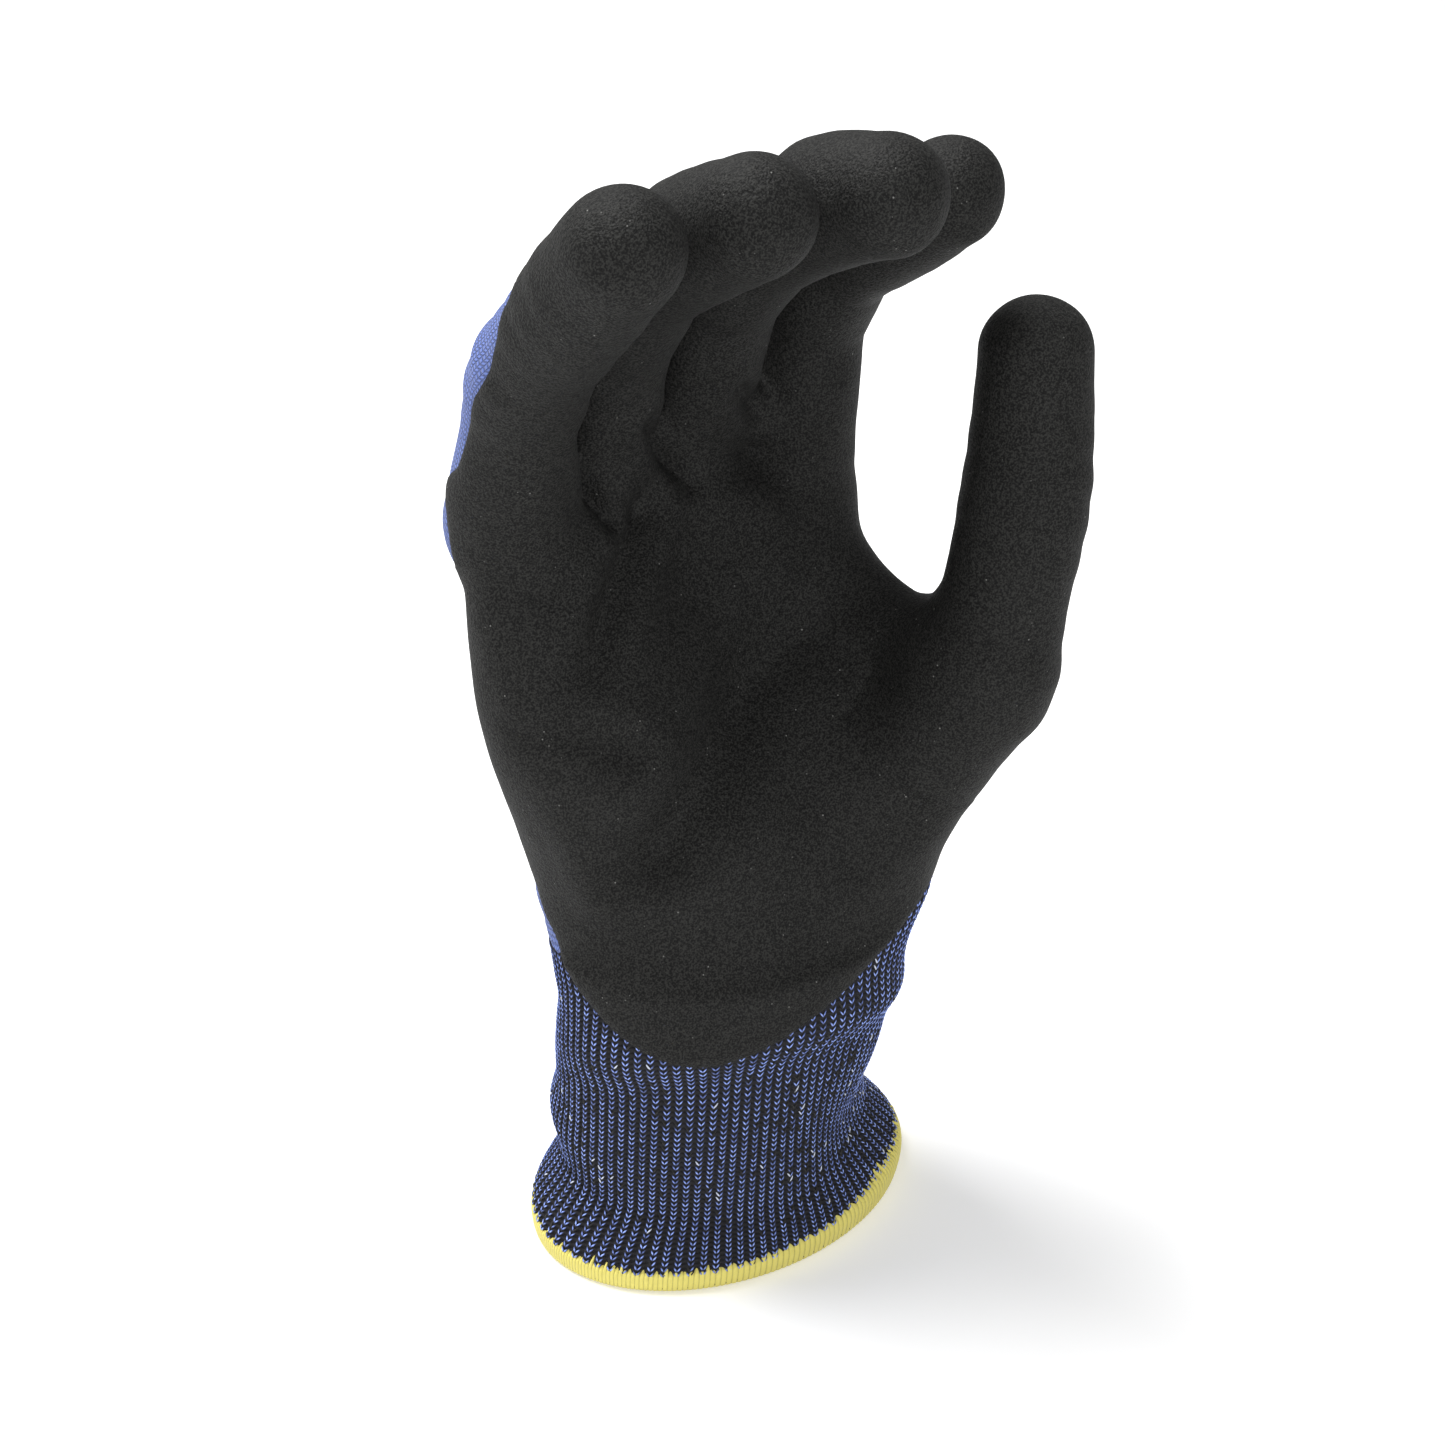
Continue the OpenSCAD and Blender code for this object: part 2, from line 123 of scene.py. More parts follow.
class GloveCuff(bpy.types.PropertyGroup):
    """Sizes of the cuff, in millimetres, and its stitches."""

    ribs: number("Ribs", "Knitted ribs round the cuff", 88, 40, 120)
    course: length("Course", "Height of one row of stitches", 1.15, 0.8, 2)
    rib_depth: length("Rib depth", "Depth of the furrow between two ribs", 0.45, 0, 1)
    top: length("Top", "Height of the last row of rib knit on the sides", 71, 60, 95)
    wrist_w: length("Wrist width", "Width at the wrist", 70, 50, 90)
    wrist_d: length("Wrist depth", "Depth at the wrist", 53, 40, 70)
    mouth_w: length("Mouth width", "Width at the hem", 86, 60, 100)
    mouth_d: length("Mouth depth", "Depth at the hem", 60, 40, 80)
    hem_h: length("Hem", "Height of the overlocked hem", 5.3, 3, 9)
    hem_more: length("Hem pull", "How much higher it is where it is pulled down", 2.2, 0, 4)
    threads: number("Threads", "Overlock threads round the hem", 236, 80, 400)
    dip_h: length("Dip", "Lowest point of the coating's edge", 54.3, 40, 70)


class GloveColours(bpy.types.PropertyGroup):
    """Colours of the yarns and the coating."""

    nitrile: colour("Nitrile", "Sandy coating", (18, 18, 17))
    blue: colour("Blue yarn", "Liner and rib yarn", (108, 130, 204))
    black: colour("Black yarn", "Yarn between the ribs", (15, 15, 19))
    fleck: colour("Fleck", "Cut resistant fibre that shows through", (215, 222, 240))
    yellow: colour("Hem", "Overlock thread", (228, 216, 112))
    elastic: colour("Elastic", "Yarn inside the cuff", (205, 205, 198))
    floor: colour("Floor", "Ground under the glove", (250, 250, 250))


class GloveView(bpy.types.PropertyGroup):
    """Where the glove is seen from."""

    azimuth: angle("Azimuth", "Turn round the glove", -40.85)
    elevation: angle("Elevation", "Height above the floor", 29.24)
    roll: angle("Roll", "Turn of the camera", 3.38)
    distance: length("Distance", "From the aim point", 446.44, 200, 2000)
    lens: length("Lens", "Focal length for a 36 mm frame", 61.43, 20, 200)
    aim: lengths("Aim", "Point looked at", (-12.81, -9.07, 117.95))


def shape():
    return bpy.context.scene.glove_shape


def cuff():
    return bpy.context.scene.glove_cuff


def tint(name):
    return tuple(getattr(bpy.context.scene.glove_colours, name)) + (1.0,)


# ---------------------------------------------------------------- small mathematics

def unit(v):
    """Vectors made 1 long, one or a whole array of them."""
    return v / np.linalg.norm(v, axis=-1, keepdims=True)


def turn(axis, degrees):
    """Right-handed turn about a coordinate axis, as a 3 by 3 array."""
    return np.array(Matrix.Rotation(np.radians(degrees), 3, axis))


def ease(t):
    """3t^2 - 2t^3 on t held between 0 and 1."""
    t = np.clip(t, 0, 1)
    return t * t * (3 - 2 * t)


def soft_min(a, b, k):
    """The lesser of a and b, less (k - |a - b|)^2 / 4k where they lie within k."""
    k = np.maximum(k, 1e-6)
    h = np.maximum(k - np.abs(a - b), 0)
    return np.minimum(a, b) - h * h / (4 * k)


def soft_max(a, b, k):
    return -soft_min(-a, -b, k)


def hashed(i, j, k, seed):
    """A repeatable number from 0 to 1 for each lattice point."""
    h = np.sin(i * 127.1 + j * 311.7 + k * 74.7 + seed * 53.3) * 43758.5453
    return h - np.floor(h)


def lumps(p, size, seed=0):
    """Smooth noise from -1 to 1: hashed lattice values of spacing size, eased between."""
    q = p / size
    base = np.floor(q)
    f = ease(q - base)
    total = 0
    for di in (0, 1):
        for dj in (0, 1):
            for dk in (0, 1):
                w = (np.where(di, f[:, 0], 1 - f[:, 0]) * np.where(dj, f[:, 1], 1 - f[:, 1])
                     * np.where(dk, f[:, 2], 1 - f[:, 2]))
                total = total + w * hashed(base[:, 0] + di, base[:, 1] + dj, base[:, 2] + dk, seed)
    return 2 * total - 1


# ---------------------------------------------------------------- skeleton, from the frame

# where the thumb's middle line starts in the hand, mm
THUMB_ROOT = (22, -13, 17)


class Stall:
    """Joint centres, directions, radii and bend axis of a finger or thumb stall, in mm."""

    def __init__(self, name, radii):
        outer = np.array(radii, float)
        first = "middle" if name != "thumb" else "root"
        at = {k: 1000 * np.array(JOINTS[f"{name}_{k}_fold"]["pos_m"], float)
              for k in ("root", "middle", "end") if f"{name}_{k}_fold" in JOINTS}
        self.axis = unit(np.array(JOINTS[f"{name}_{first}_fold"]["axis"], float))
        if name == "thumb":
            p1 = at["root"]
            p0 = to_world(np.array(THUMB_ROOT))
        else:
            p1 = at["middle"]
            p0 = at["root"] - shape().root_out * unit(p1 - at["root"])
            p0 = p0 - np.array([1.2 * (name == "little"), 0, 0])
        p2 = at["end"]
        p3 = p2 + tip_reach(f"{name}_tip_coating", p2, outer[3])
        k = STALLS.index(name)
        p3 = p3 + shape().filled[k] * unit(p3 - p2) + np.array([0, 0, shape().lift[k]])
        self.p = np.array([p0, p1, p2, p3])
        self.d = np.array([unit(self.p[i + 1] - self.p[i]) for i in range(3)])
        self.len = np.linalg.norm(np.diff(self.p, axis=0), axis=1)
        self.s = np.concatenate([[0], np.cumsum(self.len)])
        self.curve, self.girth = rounded(self.p, outer - shape().coat, 10.0)


def rounded(p, r, reach):
    """A bent line with each corner replaced by points of the curve that starts and ends at
    reach from it, (1-t)^2 a + 2t(1-t) c + t^2 b.  The radius grows by what the curve cuts off
    the corner, so that the outside of the bend stays full."""
    line, girth = [p[:1]], [r[:1]]
    t = np.array([0, 1 / 3, 2 / 3, 1])
    for i in range(1, len(p) - 1):
        before, after = p[i - 1] - p[i], p[i + 1] - p[i]
        s = min(reach, 0.45 * np.linalg.norm(before), 0.45 * np.linalg.norm(after))
        a, b = p[i] + s * unit(before), p[i] + s * unit(after)
        mid = (a + 2 * p[i] + b) / 4
        line.append((1 - t[:, None]) ** 2 * a + 2 * (t * (1 - t))[:, None] * p[i]
                    + t[:, None] ** 2 * b)
        ra = r[i] + (r[i - 1] - r[i]) * s / np.linalg.norm(before)
        rb = r[i] + (r[i + 1] - r[i]) * s / np.linalg.norm(after)
        girth.append((1 - t) ** 2 * ra + 2 * t * (1 - t) * r[i] + t ** 2 * rb
                     + 4 * t * (1 - t) * 0.8 * np.linalg.norm(mid - p[i]))
    return np.concatenate(line + [p[-1:]]), np.concatenate(girth + [r[-1:]])


def tip_reach(node, centre, r):
    """From a joint's centre to the centre of the round end of a CAD fingertip."""
    mesh = frame["nodes"][node].data
    co = np.empty(len(mesh.vertices) * 3)
    mesh.vertices.foreach_get("co", co)
    away = 1000 * co.reshape(-1, 3) - centre
    far = away[np.argmax((away ** 2).sum(1))]
    return unit(far) * (np.linalg.norm(far) - r)


def hand_turn():
    """Columns are the leaning hand's thumbward, backward and upward directions."""
    return turn("X", -shape().lean_back) @ turn("Y", shape().lean_side)


def hand_zero():
    return np.array([0, 0, 1000 * JOINTS["wrist_fold"]["pos_m"][2] + shape().heel])


def to_world(p):
    return hand_zero() + p @ hand_turn().T


def to_hand(x, y, z):
    m = hand_turn()
    z = z - hand_zero()[2]
    return tuple(m[0, i] * x + m[1, i] * y + m[2, i] * z for i in range(3))


_stalls = {}


def stalls():
    """The five stalls, read from the frame once."""
    if not _stalls:
        for n in STALLS:
            _stalls[n] = Stall(n, getattr(shape(), n + "_r"))
    return _stalls


# ---------------------------------------------------------------- the hand's form

def rod(x, y, z, a, b, ra, rb):
    """Distance to a rod from a to b whose radius runs from ra to rb, and the place along it."""
    ab = b - a
    t = np.clip(((x - a[0]) * ab[0] + (y - a[1]) * ab[1] + (z - a[2]) * ab[2]) / (ab @ ab), 0, 1)
    dx, dy, dz = x - a[0] - t * ab[0], y - a[1] - t * ab[1], z - a[2] - t * ab[2]
    return np.sqrt(dx * dx + dy * dy + dz * dz) - ra - t * (rb - ra), t


def stall_field(x, y, z, s):
    """Distance to a stall: rods end to end along its rounded middle line."""
    d = rod(x, y, z, s.curve[0], s.curve[1], s.girth[0], s.girth[1])[0]
    for i in range(1, len(s.curve) - 1):
        d = soft_min(d, rod(x, y, z, s.curve[i], s.curve[i + 1], s.girth[i], s.girth[i + 1])[0],
                     1.0)
    return d


def along_stall(p, s):
    """For points: the length from the knuckle, the nearest of the three straight lengths, the
    outward direction from the middle line, and the turn round it from the stall's back."""
    found = [rod(p[:, 0], p[:, 1], p[:, 2], s.p[i], s.p[i + 1], 0, 0) for i in range(3)]
    near = np.argmin(np.array([f[0] for f in found]), axis=0)
    t = np.take_along_axis(np.array([f[1] for f in found]), near[None], 0)[0]
    away = p - s.p[near] - t[:, None] * (s.p[near + 1] - s.p[near])
    side = unit(s.axis - (s.d[near] @ s.axis)[:, None] * s.d[near])
    back = np.cross(s.d[near], side)
    turn_by = np.arctan2((away * side).sum(1), (away * back).sum(1))
    return s.s[near] + t * s.len[near], near, away, turn_by


def cuff_half(z, turn_at=0.0):
    """Half width and half depth of the cuff at height z: a wrist that flares to the hem, from
    higher up on the thumb's side than on the other."""
    c = cuff()
    side = np.cos(turn_at - THUMB_TURN)
    k = ease((16.4 + 0.2 * side - z) / 13)
    return ((c.wrist_w + k * (c.mouth_w - c.wrist_w)) / 2,
            (c.wrist_d + k * (c.mouth_d - c.wrist_d)) / 2)


def oval(x, y, a, b, n=2.0):
    """Distance-like value of the rounded oval |x/a|^n + |y/b|^n = 1."""
    u, v = np.abs(x / a) + 1e-9, np.abs(y / b) + 1e-9
    q = (u ** n + v ** n) ** (1 / n)
    slope = q ** (1 - n) * np.sqrt((u ** (n - 1) / a) ** 2 + (v ** (n - 1) / b) ** 2)
    return (q - 1) / slope


def palm_field(x, y, z):
    """The palm: an oval loft from the wrist, deep at the heel and flat at the knuckles, with a
    hollow in its middle between the pads of the thumb and the little finger, and a back that
    is highest over the middle knuckle."""
    c = cuff()
    hx, hy, hz = to_hand(x, y, z)
    t = ease(hz / 92)
    left = c.wrist_w / 2 + 13.0 * ease(hz / 60) - 0.8 * ease((hz - 66) / 20)
    right = (c.wrist_w / 2 + 6.5 * ease((hz + 12) / 32) - 4.0 * ease((hz - 30) / 50)
             + 1.8 * np.exp(-((hz - 26) / 13) ** 2))
    half = (left + right) / 2
    mid = (right - left) / 2
    hollow = (1.8 * np.exp(-((hx + 1) / 14) ** 2 - ((hz - 50) / 24) ** 2)
              + 5.5 * np.exp(-((hx + 6) / 17) ** 2) * ease((hz - 34) / 46))
    front = c.wrist_d / 2 * (1 - t) + 11.5 * t - hollow
    back = c.wrist_d / 2 * (1 - t) + (13 + 5.0 * np.exp(-((hx + 3) / 24) ** 2)) * t
    d = oval(hx - mid, hy, half, np.where(hy < 0, front, back), 2.0 + 0.4 * t)
    top = 85 + 9 * np.exp(-((hx + 4) / 22) ** 2)
    return soft_max(soft_max(d, hz - top, 10), -16 - hz, 6)


def wrist_field(x, y, z):
    """The cuff and wrist below the lean: an upright oval tube."""
    a, b = cuff_half(z, np.arctan2(y, x))
    return np.maximum(oval(x - 1.0 * ease((30 - z) / 30), y + 0.8 * ease((30 - z) / 30), a, b),
                      z - hand_zero()[2] - 4)


def lean_slope():
    return np.tan(np.radians(shape().lean_back))


def lean_at(z):
    """How far back the hand's middle line lies at height z."""
    return np.maximum(z - hand_zero()[2], 0) * lean_slope()


# turns round the cuff, radians: the thumb's side, where the hem is highest, the little finger's
THUMB_TURN = -0.68
HEM_TURN = -0.95
LITTLE_TURN = THUMB_TURN + np.pi


def turn_from(a, b):
    """Angle a less angle b, held within half a turn."""
    return (a - b + np.pi) % (2 * np.pi) - np.pi


# the cuff's standing folds: turn, its half width, height and its half width, and how far out
SWELLS = ((THUMB_TURN, 0.55, 21, 9, -3.2), (THUMB_TURN, 0.6, 44, 9, 0.9),
          (LITTLE_TURN, 0.6, 24, 6, 2.6), (LITTLE_TURN, 0.6, 36, 8, 1.6),
          (LITTLE_TURN, 0.5, 55, 5, -1.3), (LITTLE_TURN, 0.6, 79, 7, 0.9),
          (LITTLE_TURN, 0.6, 73.5, 4.5, 2.4), (1.7, 0.5, 36, 9, -1.3),
          (-1.25, 0.7, 31, 11, -0.6))


def swell(p):
    """How far the cuff and wrist swell or dent: folds of the standing knit, each a soft bump
    about a turn and a height."""
    x, y = p[..., 0], p[..., 1] - lean_at(p[..., 2])
    turn_at = np.arctan2(y, x)
    total = 0.35 * np.sin(3 * turn_at + p[..., 2] / 14) * ease(p[..., 2] / 15)
    for at, wide, high, tall, out in SWELLS:
        off = turn_from(turn_at, at)
        total = total + out * np.exp(-(off / wide) ** 2 - ((p[..., 2] - high) / tall) ** 2)
    r = np.sqrt(x * x + y * y) + 1e-9
    return (total * ease((104 - p[..., 2]) / 16))[..., None] * np.stack([x / r, y / r, 0 * r], -1)


# how far beyond its knuckles each web between fingers lies, mm
INDEX_WEB, WEB = 12.5, 7.5
# the thumb's web: from this far along the thumb, to a place in the hand, radii and softness
THUMB_WEB = ((45, (26, -2, 65), 8.2, 7.2, 10), (27, (23, -6, 44), 8.5, 9.0, 8))


def hand_field(x, y, z):
    """Distance-like value of the whole hand, below zero inside it.  Stalls join the palm and
    each other softly up to the webs, and stand apart beyond them."""
    st = stalls()
    d = soft_min(wrist_field(x, y, z), palm_field(x, y, z), 9)
    fingers = None
    for n in FINGERS:
        s = st[n]
        f = stall_field(x, y, z, s)
        out = ((x - s.p[0, 0]) * s.d[0, 0] + (y - s.p[0, 1]) * s.d[0, 1]
               + (z - s.p[0, 2]) * s.d[0, 2])
        k = 5.0 * ease((15.5 - out) / 7)
        fingers = f if fingers is None else soft_min(fingers, f, k)
    d = soft_min(d, fingers, 6)
    for a, b in zip(FINGERS[:-1], FINGERS[1:]):
        web = INDEX_WEB if a == "index" else WEB
        for out, r, k in ((web, 6.3, 3), (-4, 9.5, 4)):
            ends = [st[n].p[0] + out * st[n].d[0] for n in (a, b)]
            d = soft_min(d, rod(x, y, z, ends[0], ends[1], r, r)[0], k)
    pad = stall_field(x, y, z, st["thumb"])
    for out, end, r0, r1, k in THUMB_WEB:
        start = st["thumb"].p[0] + out * st["thumb"].d[0]
        pad = soft_min(pad, rod(x, y, z, start, to_world(np.array(end)), r0, r1)[0], k)
    return soft_min(d, pad, 16)


# ---------------------------------------------------------------- a net over a field

def net_over(field, low, high, step):
    """Closed net of quads over field = 0.  Each grid cell that the surface crosses gets one
    point, the mean of the crossings on its edges, and each crossed edge gets one quad."""
    f = near_field(field, low, high, step)
    inside = f < 0
    cells = tuple(n - 1 for n in f.shape)
    total = np.zeros(cells + (3,))
    count = np.zeros(cells)
    crossings = []
    for d in range(3):
        first = tuple(slice(0, -1) if i == d else slice(None) for i in range(3))
        second = tuple(slice(1, None) if i == d else slice(None) for i in range(3))
        cross = np.argwhere(inside[first] != inside[second])
        i0 = tuple(cross.T)
        f0 = f[first][i0]
        f1 = f[second][i0]
        spot = cross.astype(float)
        spot[:, d] += f0 / (f0 - f1)
        e, g = [i for i in range(3) if i != d]
        ok = ((cross[:, e] > 0) & (cross[:, e] < cells[e]) & (cross[:, g] > 0)
              & (cross[:, g] < cells[g]))
        cross, spot = cross[ok], spot[ok]
        quad = []
        for a, b in ((0, 0), (1, 0), (1, 1), (0, 1)):
            cell = cross.copy()
            cell[:, e] -= a
            cell[:, g] -= b
            idx = tuple(cell.T)
            np.add.at(total, idx, spot)
            np.add.at(count, idx, 1)
            quad.append(np.ravel_multi_index(idx, cells))
        quad = np.stack(quad, 1)
        outward = inside[first][tuple(cross.T)]
        flip = outward if d != 1 else ~outward
        quad[~flip] = quad[~flip][:, ::-1]
        crossings.append(quad)
    quads = np.concatenate(crossings)
    used, quads = np.unique(quads, return_inverse=True)
    quads = quads.reshape(-1, 4)
    spots = total.reshape(-1, 3)[used] / count.reshape(-1)[used][:, None]
    points = np.array(low) + spots * step
    return settle(field, points), quads


def near_field(field, low, high, step, skip=4):
    """A field's values on a grid.  A grid skip times coarser is worked out first, and only the
    points near the surface get their own exact values."""
    blocks = [int(np.ceil((high[i] - low[i]) / step / skip)) for i in range(3)]
    ax = [low[i] + step * skip * np.arange(blocks[i] + 1) for i in range(3)]
    rough = field(ax[0][:, None, None], ax[1][None, :, None], ax[2][None, None, :])
    for axis in range(3):
        n = rough.shape[axis]
        at = np.arange((n - 1) * skip + 1)
        cell = np.minimum(at // skip, n - 2)
        a, b = np.take(rough, cell, axis), np.take(rough, cell + 1, axis)
        t = ((at - cell * skip) / skip).reshape([-1 if i == axis else 1 for i in range(3)])
        rough = a + (b - a) * t
    close = np.argwhere(np.abs(rough) < 1.6 * step * skip)
    x, y, z = (low[i] + step * close[:, i] for i in range(3))
    rough[tuple(close.T)] = field(x, y, z)
    return rough


def slope_of(field, p, h=0.15):
    """Slope of a field at points, from differences over h either way."""
    g = np.empty_like(p)
    for i in range(3):
        q = p.copy()
        q[:, i] += h
        up = field(q[:, 0], q[:, 1], q[:, 2])
        q[:, i] -= 2 * h
        g[:, i] = (up - field(q[:, 0], q[:, 1], q[:, 2])) / (2 * h)
    return g


def settle(field, p, rounds=3):
    """Moves points onto field = 0 along its slope."""
    for _ in range(rounds):
        g = slope_of(field, p)
        f = field(p[:, 0], p[:, 1], p[:, 2])
        p = p - np.clip(f, -1, 1)[:, None] * g / np.maximum((g * g).sum(1), 1e-3)[:, None]
    return p


def relax(p, quads, rounds, field):
    """Evens a net out: each point goes halfway to the mean of its neighbours, then back onto
    the surface."""
    edges = np.unique(np.sort(np.concatenate([quads[:, [i, (i + 1) % 4]] for i in range(4)]), 1),
                      axis=0)
    n = np.bincount(edges.ravel(), minlength=len(p))[:, None]
    for _ in range(rounds):
        mean = np.zeros_like(p)
        np.add.at(mean, edges[:, 0], p[edges[:, 1]])
        np.add.at(mean, edges[:, 1], p[edges[:, 0]])
        p = 0.5 * p + 0.5 * mean / n
    return settle(field, p, 1)


# ---------------------------------------------------------------- where the coating lies

DIP_TURN = -2.35


def dip_line(turn_at):
    """Height of the coating's U-shaped edge above its lowest point, by the turn round the
    wrist: 19.4 t^2 towards the little finger, sqrt((11.5 t)^2 + 1.5^2) - 1.5 and a late climb
    towards the thumb, with t the turn from the lowest point."""
    t = turn_from(turn_at, DIP_TURN)
    return np.where(t < 0, 19.4 * t * t, np.sqrt((11.5 * t) ** 2 + 2.25) - 1.5
                    + 3.4 * ease((t - 1.1) / 0.7))


def coated(p):
    """Distance-like value that is above zero where the coating lies.  It covers the palm side
    up to an edge round the sides of the hand, and leaves a strip along the back of each stall
    that ends before the fingertip.  Its lower edge hangs over the rib knit as a U."""
    hx, hy, hz = to_hand(p[:, 0], p[:, 1], p[:, 2])
    dip = p[:, 2] - cuff().dip_h - dip_line(np.arctan2(p[:, 1] - lean_at(p[:, 2]), p[:, 0]))
    edge = (6.5 + 4 * ease((hz - 14) / 14) - 8.5 * ease((hz - 62) / 30) * ease((-hx - 20) / 16)
            - 8.0 * ease((hz - 52) / 22) * ease((hx - 8) / 14))
    palm = edge - hy + 0.5 * np.sin(hz / 9)
    value = soft_min(dip * 0.9, palm, 5)
    who = owner(p)
    for k, n in enumerate(FINGERS):
        s = stalls()[n]
        station, _, _, turn_by = along_stall(p, s)
        outer = n == "little"
        reach = s.s[2] + (7 if outer else -3)
        t = np.clip((station - 6) / (reach - 6), 0, 1)
        wide = 12.2 + 4.2 * np.exp(-((station - 36) / 13) ** 2)
        half = (np.where(outer & (turn_by < 0), wide, 9.0) * np.sqrt(np.maximum(1 - t ** 4, 0))
                + 0.3 * np.sin(station / 4 + k))
        strip = np.abs(turn_by) * 10 - half
        strip = np.where(station > reach, np.maximum(strip, 2 + station - reach), strip)
        w = ease((station - 4) / 12) * (who == k)
        value = value * (1 - w) + strip * w
    value = np.where(who == THUMB, np.maximum(value, 6), value)
    return value


def owner(p):
    """The stall that each point is nearest to, 0 to 3 for the fingers and 4 for the thumb, or
    -1 on the palm."""
    st = stalls()
    d = np.array([stall_field(p[:, 0], p[:, 1], p[:, 2], st[n]) for n in STALLS])
    who = np.argmin(d, axis=0)
    best = d[who, np.arange(len(p))]
    start = np.zeros(len(p))
    for k, n in enumerate(STALLS):
        s = st[n]
        out = (p - s.p[0]) @ s.d[0]
        limit = 3 if n != "thumb" else 24
        start = np.where(who == k, out - limit, start)
    return np.where((start > 0) & (best < 4), who, -1)


# ---------------------------------------------------------------- meshes

def piece(name, points, faces, mat, uv=None, values=None):
    """Makes an object from points in millimetres and equal-sided faces."""
    mesh = bpy.data.meshes.new(name)
    faces = np.asarray(faces)
    n, m = faces.shape
    mesh.vertices.add(len(points))
    mesh.vertices.foreach_set("co", (np.asarray(points) / 1000).astype(np.float32).ravel())
    mesh.loops.add(n * m)
    mesh.loops.foreach_set("vertex_index", faces.astype(np.int32).ravel())
    mesh.polygons.add(n)
    mesh.polygons.foreach_set("loop_start", np.arange(0, n * m, m, dtype=np.int32))
    mesh.update(calc_edges=True)
    mesh.polygons.foreach_set("use_smooth", np.ones(n, bool))
    if uv is not None:
        layer = mesh.uv_layers.new(name="UVMap")
        layer.data.foreach_set("uv", np.asarray(uv)[faces.ravel()].astype(np.float32).ravel())
    for key, v in (values or {}).items():
        att = mesh.attributes.new(key, "FLOAT", "POINT")
        att.data.foreach_set("value", np.asarray(v, np.float32))
    obj = bpy.data.objects.new(name, mesh)
    bpy.context.scene.collection.objects.link(obj)
    mesh.materials.append(mat)
    mesh.validate()
    return obj


def grid_faces(rows, cols, wrap):
    """Quads of a grid of rows by cols points, joined round where wrap is true."""
    i = np.arange(rows - 1)[:, None]
    j = np.arange(cols if wrap else cols - 1)[None, :]
    a = i * cols + j
    b = i * cols + (j + 1) % cols
    return np.stack([a, b, b + cols, a + cols], -1).reshape(-1, 4)


def subset(points, faces, keep):
    """The part of a net whose faces are kept, with unused points dropped."""
    faces = faces[keep]
    used, small = np.unique(faces, return_inverse=True)
    return points[used], small.reshape(faces.shape), used


def point_normals(p, tris):
    """Mean of the normals of the faces round each point."""
    n = np.cross(p[tris[:, 1]] - p[tris[:, 0]], p[tris[:, 2]] - p[tris[:, 0]])
    total = np.zeros_like(p)
    for i in range(3):
        np.add.at(total, tris[:, i], n)
    return total / np.maximum(np.linalg.norm(total, axis=1), 1e-12)[:, None]


def snap_to_edge(p, tris, value):
    """Moves the points nearest to value = 0 onto it, so that the edge of the coating is a clean
    line through the net.  Each crossed edge moves its nearer end to the crossing."""
    edges = np.unique(np.sort(np.concatenate([tris[:, [0, 1]], tris[:, [1, 2]], tris[:, [2, 0]]]),
                              1), axis=0)
    a, b = edges.T
    hit = value[a] * value[b] < 0
    a, b = a[hit], b[hit]
    t = value[a] / (value[a] - value[b])
    spot = p[a] + t[:, None] * (p[b] - p[a])
    mover = np.where(t < 0.5, a, b)
    far = np.minimum(t, 1 - t)
    order = np.argsort(far, kind="stable")
    mover, first = np.unique(mover[order], return_index=True)
    p, value = p.copy(), value.copy()
    p[mover] = spot[order][first]
    value[mover] = 0
    return p, value


# ---------------------------------------------------------------- materials

class Socket:
    """A shader socket with arithmetic, so that a pattern reads as a formula."""

    def __init__(self, tree, socket):
        self.tree, self.socket = tree, socket

    def node(self, kind, inputs, output=0, **settings):
        """Adds any node, links or sets its inputs, and returns the wanted output."""
        made = self.tree.nodes.new(kind)
        for key, v in settings.items():
            setattr(made, key, v)
        for key, v in inputs.items():
            if isinstance(v, Socket):
                self.tree.links.new(v.socket, made.inputs[key])
            else:
                made.inputs[key].default_value = v
        return Socket(self.tree, made.outputs[output])

    def math(self, op, other=None):
        inputs = {0: self} if other is None else {0: self, 1: other}
        return self.node("ShaderNodeMath", inputs, operation=op)

    def __add__(self, o):
        return self.math("ADD", o)

    def __sub__(self, o):
        return self.math("SUBTRACT", o)

    def __mul__(self, o):
        return self.math("MULTIPLY", o)

    def ramp(self, low, high):
        """0 at low, 1 at high, eased between."""
        return self.node("ShaderNodeMapRange", {"Value": self, "From Min": low, "From Max": high},
                         interpolation_type="SMOOTHSTEP")

    def mix(self, a, b):
        """a where this is 0, b where it is 1; a and b are colours."""
        return self.node("ShaderNodeMix", {0: self, 6: a, 7: b}, output=2, data_type="RGBA")


